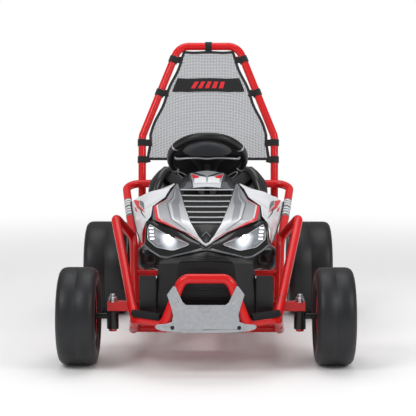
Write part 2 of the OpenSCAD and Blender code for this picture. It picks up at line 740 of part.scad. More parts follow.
module drive_motors() {
    y = rear_axle_y;
    z = rear_axle_z;
    box_end = axle_half + 5;
    color("#303236") left_and_right() difference() {
        union() {
            rod([axle_half + seam, y, z], [motor_out, y, z], motor_r);
            rod([box_end, y + gearbox_off, z + gearbox_off],
                [box_end - gearbox_len, y + gearbox_off, z + gearbox_off], gearbox_r);
        }
        rod([0, y, z], [axle_half + seam, y, z], axle_tube_d / 2 + seam);
        rod([0, y, z], [motor_out + 50, y, z], axle_d / 2 + seam);
        translate([plate_x - plate_w / 2 - seam, y - 70, 0]) cube([plate_w + 2 * seam, 70 + plate_back + 1, 300]);
    }
}

lower_frame();
side_rails();
side_guards();
roll_hoop();
back_net();
net_straps();
front_beam();
bumper_arch();
bumper_plate();
foot_bars();
accelerator_pedal();
brake_pedal();
front_shield();
nose_mask();
head_lamps();
hood_panels();
grille();
side_panels();
cowl();
dash_panel();
column_support();
seat_shell();
seat_cushion();
back_cushion();
seat_belt();
seat_mount();
battery_box();
rear_axle();
drive_motors();
steering_column();
steering_wheel();
wheel_pad();
knuckle_left();
knuckle_right();
tie_rod_left();
tie_rod_right();
tyre_front_left();
tyre_front_right();
tyre_rear_left();
tyre_rear_right();
rim_front_left();
rim_front_right();
rim_rear_left();
rim_rear_right();
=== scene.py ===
"""Electric drift kart for a child: red tube frame, moulded nose with lit lamps, bucket seat and net."""
import math

import bmesh
import bpy
import mathutils
import numpy as np
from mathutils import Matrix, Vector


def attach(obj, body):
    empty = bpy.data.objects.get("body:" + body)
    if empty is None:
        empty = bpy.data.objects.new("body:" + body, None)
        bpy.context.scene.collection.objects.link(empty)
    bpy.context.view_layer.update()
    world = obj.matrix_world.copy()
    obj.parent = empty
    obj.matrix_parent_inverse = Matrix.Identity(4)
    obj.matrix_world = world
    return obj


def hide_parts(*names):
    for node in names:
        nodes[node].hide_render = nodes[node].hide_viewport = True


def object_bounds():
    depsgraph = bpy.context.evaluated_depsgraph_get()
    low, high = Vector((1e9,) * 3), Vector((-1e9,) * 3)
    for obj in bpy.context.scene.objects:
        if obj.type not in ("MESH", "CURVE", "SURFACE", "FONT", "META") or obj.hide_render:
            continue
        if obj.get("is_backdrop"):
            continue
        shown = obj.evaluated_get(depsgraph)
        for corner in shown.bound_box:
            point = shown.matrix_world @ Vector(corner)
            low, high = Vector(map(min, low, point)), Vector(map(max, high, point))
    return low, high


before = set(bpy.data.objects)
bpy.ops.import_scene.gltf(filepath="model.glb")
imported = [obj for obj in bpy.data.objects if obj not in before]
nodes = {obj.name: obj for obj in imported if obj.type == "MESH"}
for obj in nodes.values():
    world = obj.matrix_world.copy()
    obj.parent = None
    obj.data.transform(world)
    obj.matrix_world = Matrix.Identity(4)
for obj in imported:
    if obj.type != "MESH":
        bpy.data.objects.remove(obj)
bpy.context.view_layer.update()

# Sizes in millimetres. Points in tables are [x, station, z]: station is the distance behind the front axle.
MM = 0.001
FRONT_AXLE = -376.5
WHEELBASE = 770.0
WHEELS = {  # middle [x, station, z], tyre radius, tyre width, rim radius
    "front": ((347.5, 0.0, 133.0), 133.0, 105.0, 86.0),
    "rear": ((330.0, WHEELBASE, 150.0), 150.0, 140.0, 96.0),
}
RIM_SPOKES = 5
COLUMN_LEAN = math.radians(40)
WHEEL_CENTRE = (0.0, 400.0, 535.0)
PANEL_WALL = 3.0
CAMERA_ASIDE, CAMERA_AWAY, CAMERA_UP = 0.031, 3.6, 0.82  # metres from the middle, the front axle, the floor
CAMERA_TILT, CAMERA_TURN = 6.2, 0.42  # degrees down and leftwards
FOCAL_PIXELS, PICTURE_PIXELS = 1340, 416


# Shapes: points on grids, as whole arrays


def kart(points):
    """Points written as [x, station, z] in millimetres, in metres of the row's frame."""
    return (np.asarray(points, float) + [0.0, FRONT_AXLE, 0.0]) * MM


def mirrored(points):
    """The same points on the other side of the kart."""
    return points * [-1.0, 1.0, 1.0]


def smooth_line(points, count):
    """Curve through the points along their first axis: in each span the cubic whose end slopes are half the
    chord between the neighbours."""
    p = np.asarray(points, float)
    t = np.linspace(0, len(p) - 1, count)
    i = np.minimum(t.astype(int), len(p) - 2)
    u = (t - i).reshape((-1,) + (1,) * (p.ndim - 1))
    a, b, c, d = p[np.maximum(i - 1, 0)], p[i], p[i + 1], p[np.minimum(i + 2, len(p) - 1)]
    return 0.5 * (2 * b + (c - a) * u + (2 * a - 5 * b + 4 * c - d) * u**2 + (3 * b - a - 3 * c + d) * u**3)


def straight_line(points, count):
    """Points at even steps along the rows given, joined by straight spans."""
    p = np.asarray(points, float)
    t = np.linspace(0, len(p) - 1, count)
    i = np.minimum(t.astype(int), len(p) - 2)
    u = (t - i).reshape((-1,) + (1,) * (p.ndim - 1))
    return p[i] * (1 - u) + p[i + 1] * u


def smooth_grid(points, rows, columns):
    """The smooth curve both ways: down the rows, then along the columns."""
    return np.swapaxes(smooth_line(np.swapaxes(smooth_line(points, rows), 0, 1), columns), 0, 1)


def straight_grid(points, rows, columns):
    """Straight spans both ways: along the columns, then down the rows."""
    return straight_line(np.swapaxes(straight_line(np.swapaxes(points, 0, 1), columns), 0, 1), rows)


def creased_grid(points, rows, columns):
    """Straight spans down the rows, which stay creases, and a smooth curve along the columns."""
    return np.swapaxes(smooth_line(np.swapaxes(straight_line(points, rows), 0, 1), columns), 0, 1)


def quads(rows, columns, close_rows=False, close_columns=False):
    """Corner numbers of the cells of a grid whose points are numbered along its rows."""
    i = np.arange(rows if close_rows else rows - 1)[:, None]
    j = np.arange(columns if close_columns else columns - 1)[None, :]
    i2, j2 = (i + 1) % rows, (j + 1) % columns
    cells = np.broadcast_arrays(i * columns + j, i2 * columns + j, i2 * columns + j2, i * columns + j2)
    return np.stack(cells, -1).reshape(-1, 4)


def normals(grid):
    """Unit normals of a grid: its direction down the rows crossed with the one along the columns."""
    n = np.cross(np.gradient(grid, axis=0), np.gradient(grid, axis=1))
    return n / np.maximum(np.linalg.norm(n, axis=-1, keepdims=True), 1e-12)


def wall(grid, thickness):
    """Closed wall: the grid, its copy set in against the normals, and a strip round the edge."""
    rows, columns = grid.shape[:2]
    ring = np.concatenate([grid, (grid - normals(grid) * thickness)[:, ::-1]], axis=1)
    j = np.arange(columns - 1)
    cap = np.stack([j, j + 1, 2 * columns - 2 - j, 2 * columns - 1 - j], -1)
    last = (rows - 1) * 2 * columns + cap[:, ::-1]
    return ring, np.concatenate([quads(rows, 2 * columns, close_columns=True), cap, last])


def capped(grid, closed=False):
    """Faces of a tube of rings, with a fan to the middle at both ends unless the tube closes on itself."""
    if not closed:
        ends = [np.broadcast_to(ring.mean(axis=0), ring.shape)[None] for ring in (grid[0], grid[-1])]
        grid = np.concatenate([ends[0], grid, ends[1]])
    return grid, quads(len(grid), grid.shape[1], close_rows=closed, close_columns=True)


def turns(count):
    """Even steps round a whole turn, in radians."""
    return np.arange(count) / count * 2 * np.pi


def oval(width, height, count=24, power=2.0):
    """Closed section of half sizes width and height: a circle whose two coordinates are raised to 2 / power,
    so that a high power squares it."""
    turn = turns(count)
    c, s = np.cos(turn), np.sin(turn)
    return np.stack([width * np.sign(c) * np.abs(c) ** (2 / power),
                     height * np.sign(s) * np.abs(s) ** (2 / power)], -1)


def swept(path, section, up=(0.0, 0.0, 1.0), closed=False):
    """Section of (sideways, upwards) points carried along the path, square to it and to up."""
    path = np.asarray(path, float)
    along = np.roll(path, -1, 0) - np.roll(path, 1, 0) if closed else np.gradient(path, axis=0)
    along /= np.linalg.norm(along, axis=-1, keepdims=True)
    side = np.cross(along, np.broadcast_to(up, along.shape))
    side /= np.linalg.norm(side, axis=-1, keepdims=True)
    top = np.cross(side, along)
    section = np.broadcast_to(section, (len(path),) + np.shape(section)[-2:])
    return path[:, None] + section[..., :1] * side[:, None] + section[..., 1:] * top[:, None]


def turned(profile, centre, axis, count, closed=False):
    """Form turned round the axis through the centre. Profile rows are (distance along it, radius) in
    millimetres. A closed profile joins its last row to its first, and an open one ends at the axis, which
    is written as a radius of 0.01."""
    profile, axis = np.array(profile) * MM, np.asarray(axis, float)
    across = np.cross(axis, (0.0, 0.0, 1.0) if abs(axis[2]) < 0.9 else (0.0, 1.0, 0.0))
    across /= np.linalg.norm(across)
    turn = turns(count)
    ring = np.cos(turn)[:, None] * across + np.sin(turn)[:, None] * np.cross(axis, across)
    grid = np.asarray(centre) + profile[:, None, :1] * axis + profile[:, None, 1:] * ring
    return grid, quads(*grid.shape[:2], close_rows=closed, close_columns=True)


def block(centre, half, power=8.0, count=24):
    """Rounded block: a squarish oval across, shrinking near its two ends, along X."""
    x = np.array([-1.0, -0.96, -0.86, 0.86, 0.96, 1.0])
    size = np.array([0.80, 0.94, 1.0, 1.0, 0.94, 0.80])
    section = oval(half[1], half[2], count, power) * size[:, None, None]
    across = np.broadcast_to((x * half[0])[:, None, None], section.shape[:2] + (1,))
    return capped(np.concatenate([across, section], -1) + np.asarray(centre, float))


def in_metres(part):
    """A part written in [x, station, z] millimetres, in metres."""
    return (kart(part[0]),) + tuple(part[1:])


def shell(grid, thickness):
    """Closed wall of a grid that is written in millimetres."""
    return in_metres(wall(grid, thickness))


def rod(path, section, up=(0.0, 0.0, 1.0)):
    """Section in metres carried along a path in millimetres, closed at both ends."""
    return capped(swept(kart(path), section, up))


def other_side(part):
    """The same part on the other side."""
    return (mirrored(part[0]),) + tuple(part[1:])


def both(*parts):
    """Parts and the same ones on the other side."""
    return [*parts, *[other_side(p) for p in parts]]


def piece(name, parts, finish, stands_for=(), body="chassis", sharp=38.0, bevel=0.0):
    """Makes one object of parts, each (points in metres, quads, and for cloth the flat place of each point).
    Doubles are merged, faces turned outwards, and edges over the sharp angle kept crisp, or bevelled by that
    many millimetres."""
    points, faces, flat, start = [], [], [], 0
    for part in parts:
        p = part[0].reshape(-1, 3)
        points.append(p)
        faces += [[corner + start for corner in face] for face in part[1]]
        flat.append(part[2].reshape(-1, 2) if len(part) > 2 else np.zeros((len(p), 2)))
        start += len(p)
    mesh = bpy.data.meshes.new(name)
    mesh.from_pydata(np.concatenate(points), [], faces)
    if any(len(part) > 2 for part in parts):
        corners = np.empty(len(mesh.loops), np.int32)
        mesh.loops.foreach_get("vertex_index", corners)
        layer = mesh.uv_layers.new(name="flat")
        layer.data.foreach_set("uv", np.concatenate(flat)[corners].astype(np.float32).ravel())
    work = bmesh.new()
    work.from_mesh(mesh)
    bmesh.ops.remove_doubles(work, verts=work.verts, dist=2e-6)
    bmesh.ops.recalc_face_normals(work, faces=work.faces)
    work.to_mesh(mesh)
    work.free()
    mesh.materials.append(finish)
    mesh.shade_smooth()
    mesh.set_sharp_from_angle(angle=math.radians(sharp))
    made = bpy.data.objects.new(name, mesh)
    bpy.context.scene.collection.objects.link(made)
    if bevel:
        edge = made.modifiers.new("edge", "BEVEL")
        edge.width, edge.segments = bevel * MM, 2
        edge.limit_method, edge.angle_limit = "ANGLE", math.radians(sharp)
    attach(made, body)
    if stands_for:
        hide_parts(*stands_for)
    return made


# Finishes


def colour(text):
    """sRGB hex to linear red, green, blue and alpha."""
    c = np.array([int(text[i : i + 2], 16) for i in (1, 3, 5)]) / 255
    return (*np.where(c <= 0.04045, c / 12.92, ((c + 0.055) / 1.055) ** 2.4).tolist(), 1.0)


def node(tree, kind, inputs=(), **settings):
    """Adds a shader node. settings are its own properties, and inputs maps its sockets to values or to the
    outputs they are linked to."""
    made = tree.nodes.new("ShaderNode" + kind)
    for key, value in settings.items():
        setattr(made, key, value)
    for key, value in dict(inputs).items():
        if isinstance(value, bpy.types.NodeSocket):
            tree.links.new(value, made.inputs[key])
        else:
            made.inputs[key].default_value = value
    return made


class Finish:
    """A material under way: its tree, its Principled shader, and the place on the piece in metres."""

    def __init__(self, name, base, roughness, **sockets):
        self.material = bpy.data.materials.new(name)
        self.material.use_nodes = True
        self.tree = self.material.node_tree
        self.shader = self.tree.nodes["Principled BSDF"]
        self.base = colour(base)
        self.shader.inputs["Base Color"].default_value = self.base
        self.shader.inputs["Roughness"].default_value = roughness
        for key, value in sockets.items():
            self.shader.inputs[key.replace("_", " ").title().replace("Ior", "IOR")].default_value = value
        self.place = node(self.tree, "TexCoord").outputs["Object"]

    def noise(self, size, detail=2.0, stretch=(1.0, 1.0, 1.0)):
        """Noise with lumps of about size millimetres, longer along an axis whose stretch is below 1."""
        spot = node(self.tree, "Mapping", {"Vector": self.place, "Scale": stretch})
        inputs = {"Vector": spot.outputs[0], "Scale": 1000 / size, "Detail": detail}
        return node(self.tree, "TexNoise", inputs).outputs["Fac"]

    def lifted(self, height, depth):
        """Height of 0 to 1 lifts the surface by up to depth millimetres, on top of any lift it has."""
        before = self.shader.inputs["Normal"].links
        inputs = {"Height": height, "Distance": depth * MM, "Strength": 1.0}
        if before:
            inputs["Normal"] = before[0].from_socket
        made = node(self.tree, "Bump", inputs)
        self.tree.links.new(made.outputs[0], self.shader.inputs["Normal"])
        return self

    def mottled(self, height, other):
        """The colour goes to the other one where height is 1."""
        blend = node(self.tree, "Mix", {0: height, 6: self.base, 7: colour(other)}, data_type="RGBA")
        self.tree.links.new(blend.outputs[2], self.shader.inputs["Base Color"])
        return self

    def roughened(self, height, low, high):
        """Roughness runs from low to high with height."""
        span = node(self.tree, "MapRange", {0: height, 3: low, 4: high})
        self.tree.links.new(span.outputs[0], self.shader.inputs["Roughness"])
        return self


def powder_coat():
    """Powder-coated steel tube: an even red with a glossy baked skin and a faint orange peel of 3 mm."""
    f = Finish("powder_coated_steel_red", "#d8070c", 0.34, specular_ior_level=0.3, coat_weight=0.3,
               coat_roughness=0.12)
    f.mottled(f.noise(90), "#c0060a").lifted(f.noise(3, 1.0), 0.03)
    return f.material


def moulded_black(name, base, roughness, grain, depth):
    """ABS moulded in a spark-eroded tool: near-black with a fine even grain and slightly uneven gloss."""
    f = Finish(name, base, roughness)
    f.roughened(f.noise(40), roughness - 0.05, roughness + 0.07).lifted(f.noise(grain, 3.0), depth)
    return f.material


def painted_metallic(name, base, flake, roughness, metallic, fade=None):
    """ABS painted metallic grey under lacquer: flakes of tenths of a millimetre, drawn at 1 mm so that they
    show. fade is painted light, a paler colour that stands in for light on the lower part of the panel:
    (colour, z where it is full, z where it has gone), in metres."""
    f = Finish(name, base, roughness, metallic=metallic, coat_weight=0.5, coat_roughness=0.08)
    f.mottled(f.noise(1.0, 1.0), flake).lifted(f.noise(25, 1.0), 0.08)
    # Painted light: the base colour goes paler below the given heights.
    if fade:
        height = node(f.tree, "SeparateXYZ", {0: f.place}).outputs[2]
        share = node(f.tree, "MapRange", {0: height, 1: fade[1], 2: fade[2], 3: 1.0, 4: 0.0},
                     interpolation_type="SMOOTHSTEP")
        before = f.shader.inputs["Base Color"].links[0].from_socket
        blend = node(f.tree, "Mix", {0: share.outputs[0], 6: before, 7: colour(fade[0])}, data_type="RGBA")
        f.tree.links.new(blend.outputs[2], f.shader.inputs["Base Color"])
    return f.material


def gloss(name, base, other, roughness=0.22):
    """Gloss moulded ABS: an even colour with a soft waviness of the moulding."""
    f = Finish(name, base, roughness, coat_weight=0.4, coat_roughness=0.05)
    f.mottled(f.noise(60), other).lifted(f.noise(30, 1.0), 0.06)
    return f.material


def satin_steel():
    """Steel plate painted satin silver: brush streaks 20 times as long as wide and handling marks."""
    f = Finish("painted_steel_silver", "#b9bbbf", 0.40, metallic=0.6)
    f.mottled(f.noise(12, 4.0), "#9b9ea3").roughened(f.noise(18, 5.0), 0.34, 0.52)
    f.lifted(f.noise(1.2, 2.0, (0.05, 1.0, 1.0)), 0.02)
    return f.material


def slick_rubber():
    """Moulded EVA tyre with a smooth tread: satin charcoal, dusty mottling of 30 mm and pores of 1 mm."""
    f = Finish("moulded_rubber_charcoal", "#1f2023", 0.46, specular_ior_level=0.4)
    f.mottled(f.noise(30, 4.0), "#16171a").roughened(f.noise(12, 3.0), 0.38, 0.54)
    f.lifted(f.noise(1.0, 2.0), 0.05)
    return f.material


def foam():
    """Closed-cell foam sleeve: matte black with cells of 1.5 mm."""
    f = Finish("closed_cell_foam_black", "#1b1b1d", 0.9, specular_ior_level=0.2)
    f.mottled(f.noise(4, 3.0), "#262628").lifted(f.noise(1.5, 3.0), 0.3)
    return f.material


WAVE_RADIANS = 20  # a wave texture of scale 1 turns this far in a metre


def webbing():
    """Woven polyester webbing, ribs of 1.5 mm drawn 3 mm wide so that they show: matte, soft sheen."""
    f = Finish("woven_polyester_black", "#151517", 0.8, sheen_weight=0.3, sheen_roughness=0.4)
    flat = node(f.tree, "TexCoord").outputs["UV"]
    scale = math.pi * 1000 / 3 / WAVE_RADIANS
    rib = node(f.tree, "TexWave", {"Vector": flat, "Scale": scale, "Distortion": 0.4}, bands_direction="Y")
    f.mottled(rib.outputs["Fac"], "#2b2b2e").lifted(rib.outputs["Fac"], 0.3)
    return f.material


def vinyl():
    """Vinyl seat cover on foam: dark grey with an embossed leather grain of 2.5 mm and a dull gloss."""
    f = Finish("embossed_vinyl_black", "#202124", 0.48, specular_ior_level=0.45)
    cells = node(f.tree, "TexVoronoi", {"Vector": f.place, "Scale": 1000 / 2.5},
                 feature="DISTANCE_TO_EDGE").outputs["Distance"]
    crease = node(f.tree, "MapRange", {0: cells, 1: 0.0, 2: 0.12}).outputs[0]
    f.mottled(f.noise(35, 3.0), "#18191b").lifted(crease, 0.12)
    return f.material


def mesh_cloth():
    """Knitted polyester mesh, see-through: holes at a pitch of 3 mm drawn at 5 mm so that they show."""
    f = Finish("knitted_mesh_grey", "#8c8f94", 0.75, sheen_weight=0.2)
    flat = node(f.tree, "TexCoord").outputs["UV"]
    axes = node(f.tree, "SeparateXYZ", {0: flat})
    waves = []
    for axis in (0, 1):
        turn = node(f.tree, "Math", {0: axes.outputs[axis], 1: math.pi * 1000 / 5}, operation="MULTIPLY")
        waves.append(node(f.tree, "Math", {0: turn.outputs[0]}, operation="SINE").outputs[0])
    bumps = node(f.tree, "Math", {0: waves[0], 1: waves[1]}, operation="MULTIPLY")
    size = node(f.tree, "Math", {0: bumps.outputs[0]}, operation="ABSOLUTE")
    thread = node(f.tree, "MapRange", {0: size.outputs[0], 1: 0.45, 2: 0.62, 3: 1.0, 4: 0.30},
                  interpolation_type="SMOOTHSTEP")
    f.mottled(bumps.outputs[0], "#6e7176")
    f.tree.links.new(thread.outputs[0], f.shader.inputs["Alpha"])
    return f.material


def printed(name, base, roughness=0.3):
    """Printed vinyl film laid on the plastic: flat colour, satin, faintly wavy as it follows the panel."""
    f = Finish(name, base, roughness, coat_weight=0.3, coat_roughness=0.15)
    f.lifted(f.noise(14, 1.0), 0.03)
    return f.material


def glowing(name, base, strength):
    """LED behind a diffuser: white, evenly lit."""
    f = Finish(name, base, 0.3, emission_strength=strength)
    f.shader.inputs["Emission Color"].default_value = colour("#f4f8ff")
    return f.material


def clear_lens():
    """Clear polycarbonate lens: nearly invisible but for its gloss."""
    return Finish("polycarbonate_clear", "#eef3f8", 0.04, alpha=0.12, coat_weight=0.5).material


def plated_reflector(lamp_x, lamp_z):
    """Lamp bowl of metallised plastic with its LED's light painted on as emission: a painted glow,
    brightest round the LED and fading over 40 mm.
    """
    f = Finish("metallised_reflector", "#4a4d52", 0.30, metallic=0.5)
    spot = node(f.tree, "SeparateXYZ", {0: f.place})
    side = node(f.tree, "Math", {0: spot.outputs[0]}, operation="ABSOLUTE")
    dx = node(f.tree, "Math", {0: side.outputs[0], 1: lamp_x * MM}, operation="SUBTRACT")
    dz = node(f.tree, "Math", {0: spot.outputs[2], 1: lamp_z * MM}, operation="SUBTRACT")
    away = node(f.tree, "CombineXYZ", {0: dx.outputs[0], 2: dz.outputs[0]})
    length = node(f.tree, "VectorMath", {0: away.outputs[0]}, operation="LENGTH")
    # Painted glow: emission strongest near the LED core, standing in for its light on the bowl.
    glow = node(f.tree, "MapRange", {0: length.outputs["Value"], 1: 0.004, 2: 0.030, 3: 1.5, 4: 0.0},
                interpolation_type="SMOOTHSTEP")
    f.shader.inputs["Emission Color"].default_value = colour("#f4f8ff")
    f.tree.links.new(glow.outputs[0], f.shader.inputs["Emission Strength"])
    return f.material


RED = powder_coat()
BLACK_GRAIN = moulded_black("moulded_abs_black", "#0d0d0f", 0.42, 0.9, 0.04)
BLACK_GLOSS = gloss("gloss_abs_black", "#08080a", "#0e0f11", 0.18)
SEAT_BLACK = gloss("gloss_pe_black", "#141416", "#1c1d20", 0.34)
BLACK_STEEL = moulded_black("painted_steel_black", "#0b0c0d", 0.36, 2.0, 0.02)
RIM_BLACK = moulded_black("moulded_rim_black", "#0c0d0e", 0.40, 1.2, 0.04)
CHARCOAL = moulded_black("moulded_abs_charcoal", "#3a3c40", 0.5, 1.5, 0.05)
DEEP_BLACK = moulded_black("moulded_abs_deep_black", "#0b0b0c", 0.6, 1.2, 0.05)
MOTOR = moulded_black("moulded_housing_black", "#151618", 0.55, 1.5, 0.06)
# Painted light on the hood and its inlay: paler towards the tip, from about z 0.46 m down to 0.34 m.
GREY = painted_metallic("painted_abs_grey", "#8a8c91", "#a9acb1", 0.32, 0.45, ("#dfe0e3", 0.340, 0.460))
HOOD_INLAY = painted_metallic("painted_abs_inlay_grey", "#6f7176", "#85878c", 0.34, 0.4,
                              ("#c4c6ca", 0.345, 0.43))
PALE_GREY = painted_metallic("painted_abs_pale_grey", "#b9bcc0", "#cfd1d4", 0.34, 0.35)
DARK_GREY = painted_metallic("painted_abs_dark_grey", "#55585d", "#6a6d72", 0.36, 0.35)
GRIP = moulded_black("soft_grip_black", "#080809", 0.40, 1.2, 0.08)
SILVER = painted_metallic("painted_abs_silver", "#a8abb0", "#c2c5c9", 0.30, 0.5)
WHITE = gloss("gloss_abs_white", "#e6e6e9", "#dadbdf", 0.25)
STEEL = satin_steel()
RUBBER = slick_rubber()
FOAM = foam()
WEBBING = webbing()
VINYL = vinyl()
MESH = mesh_cloth()
FILM_RED = printed("printed_film_red", "#d8222b")
FILM_GREY = printed("printed_film_grey", "#6b6d72")
FILM_PALE = printed("printed_film_pale", "#d4d6d9")
FILM_DARK = printed("printed_film_dark", "#34363a")
FILM_ROSE = printed("printed_film_rose", "#a98788")
ZINC = Finish("zinc_plated_steel", "#b7b9bd", 0.28, metallic=1.0).material

FRAME_NODES = ("lower_frame", "side_rails", "side_guards", "roll_hoop", "front_beam", "bumper_arch",
               "column_support", "seat_mount")
BLACK_NODES = ("accelerator_pedal", "brake_pedal", "dash_panel", "front_shield", "nose_mask", "grille",
               "wheel_pad", "steering_wheel")
STEEL_NODES = ("rear_axle", "knuckle_left", "knuckle_right", "tie_rod_left", "tie_rod_right",
               "steering_column")
FINISHES = {
    RED: FRAME_NODES,
    BLACK_STEEL: STEEL_NODES,
    MOTOR: ("drive_motors", "battery_box"),
    BLACK_GRAIN: BLACK_NODES,
    SEAT_BLACK: ("seat_shell",),
    FOAM: ("foot_bars",),
    VINYL: ("seat_cushion", "back_cushion"),
    WEBBING: ("seat_belt", "net_straps"),
    MESH: ("back_net",),
    STEEL: ("bumper_plate",),
    GREY: ("hood_panels",),
    SILVER: ("cowl",),
    WHITE: ("side_panels", "head_lamps"),
    RUBBER: tuple(n for n in nodes if n.startswith("tyre_")),
    RIM_BLACK: tuple(n for n in nodes if n.startswith("rim_")),
}
for finish, names in FINISHES.items():
    for name in names:
        nodes[name].data.materials.clear()
        nodes[name].data.materials.append(finish)


# Wheels


def tyre_profile(radius, width, rim):
    """Slick tyre's closed profile, (along the axle, radius): bead, sidewall with a raised ring, round
    shoulder, tread with a seam in its middle."""
    h, b = width / 2, rim + 0.4
    side = [(h - 13, b), (h - 5, b + 2), (h - 4, b + 9), (h - 2.5, b + 10), (h - 1, b + 14),
            (h, radius - 30), (h - 0.5, radius - 20), (h - 3, radius - 11), (h - 8, radius - 4.5),
            (h - 15, radius - 1.2), (h - 24, radius)]
    tread = [(1.2, radius), (0.5, radius - 0.7), (-0.5, radius - 0.7), (-1.2, radius)]
    return np.array(side + tread + [(-x, r) for x, r in reversed(side)])


STRIPE = ((-0.5, 4.2), (0.8, 4.0), (1.2, 2.2), (0.8, 0.6), (-0.5, 0.4))  # (outwards, below the rim's edge)


def wheel(which, side):
    """Tyre, rim, red ring and hub cap of one wheel. side is 1 for left."""
    middle, radius, width, rim = WHEELS[which]
    body = f"wheel_{which}_{'left' if side > 0 else 'right'}"
    name = body.replace("wheel_", "")
    centre = kart(middle) * [side, 1, 1]
    axis = (float(side), 0.0, 0.0)
    profile = tyre_profile(radius, width, rim)
    tread = turned(profile, centre, axis, 128, closed=True)
    piece("tyre_skin_" + name, [tread], RUBBER, (f"tyre_{name}",), body, sharp=50)
    h = width / 2 - 12
    barrel = np.array([(h, rim), (h, rim - 3), (h - 3, rim - 6), (h - 26, rim - 7), (h - 34, rim - 8),
                       (-h + 10, rim - 8), (-h + 2, rim - 4), (-h, rim - 2), (-h, rim)])
    parts = [turned(barrel, centre, axis, 96, closed=True)]
    hub = np.array([(-18, 8.4), (-18, 20), (-14, 23), (h - 12, 24), (h - 7, 22), (h - 5, 17), (h - 4, 8.4)])
    parts.append(turned(hub, centre, axis, 48, closed=True))
    reach = np.linspace(18, rim - 5, 8)
    t = (reach - reach[0]) / (reach[-1] - reach[0])
    for k in range(RIM_SPOKES):
        turn = k * 2 * np.pi / RIM_SPOKES
        out = np.array([0, -np.sin(turn), np.cos(turn)])
        path = np.array([1.0, 0, 0]) * (h - 17 - 6 * np.sin(np.pi * t))[:, None] + out * reach[:, None]
        section = np.array([oval(10 + 4 * a, 7 + 1.5 * a, 20, 4) for a in t])
        grid = swept(path, section, (1.0, 0.0, 0.0)) * MM * [side, 1, 1] + centre
        parts.append(capped(grid))
    piece("rim_casting_" + name, parts, RIM_BLACK, (f"rim_{name}",), body)
    for label, place in (("outer", h), ("inner", -h)):
        s = np.sign(place)
        ring = [(place + x * s, rim - r) for x, r in STRIPE]
        stripe = turned(ring, centre, axis, 96, closed=True)
        piece(f"rim_stripe_{label}_{name}", [stripe], FILM_RED, (), body)
    cap = np.array([(h - 8, 0.01), (h - 8, 12), (h - 4.5, 15), (h - 2, 13.5), (h - 0.5, 8), (h, 0.01)])
    piece("hub_cap_" + name, [turned(cap, centre, axis, 48)], ZINC, (), body)


for which in WHEELS:
    for side in (1, -1):
        wheel(which, side)


# Net

HOOP = np.array([[97.0, 842, 872], [215.0, 760, 580], [212.0, 655, 84]])  # its left side, from the top
NET_ROWS = [[80, 838, 853], [192, 762, 585], [196, 750, 508]]
NET_SHARES = np.array([0.0, 0.777, 1.0])  # how far down the net those rows lie


def net_point(s, t):
    """Net at s, from the top 0 to the bottom 1, and t, from -1 to 1 across: straight spans between the hems,
    pulled in between its ties, sagging a little at its top and hollow behind the driver."""
    half, station, z = (np.interp(s, NET_SHARES, [row[k] for row in NET_ROWS]) for k in range(3))
    pull = 5 * np.sin(np.pi * s * 3) ** 2 * np.abs(t) ** 4
    hollow = 7 * np.sin(np.pi * s) * (1 - t**2)
    sag = 3 * np.sin(np.pi * (t + 1)) ** 2 * (1 - s) * np.abs(t)
    return np.stack([t * (half - pull), station + hollow, z - sag], -1)


s, t = np.meshgrid(np.linspace(0, 1, 60), np.linspace(-1, 1, 60), indexing="ij")
net = net_point(s, t)
across = np.concatenate([np.zeros((60, 1)), np.cumsum(np.linalg.norm(np.diff(net, axis=1), axis=-1), 1)], 1)
across -= across[:, 30:31]
down = np.concatenate([np.zeros((1, 60)), np.cumsum(np.linalg.norm(np.diff(net, axis=0), axis=-1), 0)], 0)
net_sheet = piece("back_net_mesh", [(kart(net), quads(60, 60), np.stack([across, down], -1) * MM)], MESH,
                  ("back_net",))
hem_edge = np.concatenate([net_point(np.zeros(40), np.linspace(-1, 1, 40)),
                           net_point(np.linspace(0.02, 1, 50), np.ones(50)),
                           net_point(np.ones(40), np.linspace(1, -1, 41)[1:]),
                           net_point(np.linspace(1, 0.02, 50)[1:], -np.ones(49))])
hem = swept(kart(hem_edge), oval(0.0045, 0.0012, 12, 4), (0.0, 1.0, 0.0), closed=True)
hem_flat = np.zeros(hem.shape[:2] + (2,)) + np.linspace(0, 2, len(hem))[:, None, None]
hem_piece = piece("net_hem", [(*capped(hem, closed=True), hem_flat)], WEBBING)

# Nose

HOOD = [  # rows from the tip up, [inner edge, crease, outer edge] of the right-hand panel
    [[3, -68, 340], [4, -70, 339], [5, -71, 337.5]],
    [[20, -47, 357], [41, -27, 364], [62, -1, 366]],
    [[42, 0, 388], [94, 28, 396], [148, 60, 391]],
    [[62, 100, 425], [106, 110, 431], [149, 128, 418]],
    [[69, 145, 440], [93, 150, 443], [116, 161, 433]],
    [[78, 200, 459], [92, 203, 461], [104, 205, 452]],
    [[82, 245, 470], [87, 248, 473], [90, 250, 469]],
]
SIDE = [  # rows from the lamp back, [outer edge, middle, inner edge] of the white panel
    [[182, 102, 319], [180, 84, 355], [168, 68, 386]],
    [[194, 155, 342], [181, 120, 368], [156, 90, 398]],
    [[207, 215, 370], [186, 165, 397], [153, 135, 422]],
    [[217, 268, 394], [175, 212, 427], [119, 172, 443]],
    [[223, 312, 412], [168, 258, 447], [106, 225, 462]],
    [[203, 306, 428], [148, 284, 448], [94, 255, 473]],
]
MASK = [  # columns from the middle out, [lower edge, upper edge] of the black lamp mask
    [[0, -79, 326], [0, -72, 336]],
    [[42, -68, 317], [42, -24, 352]],
    [[86, -47, 304], [86, 20, 371]],
    [[128, -10, 301], [128, 57, 385]],
    [[170, 38, 323], [166, 66, 386]],
]


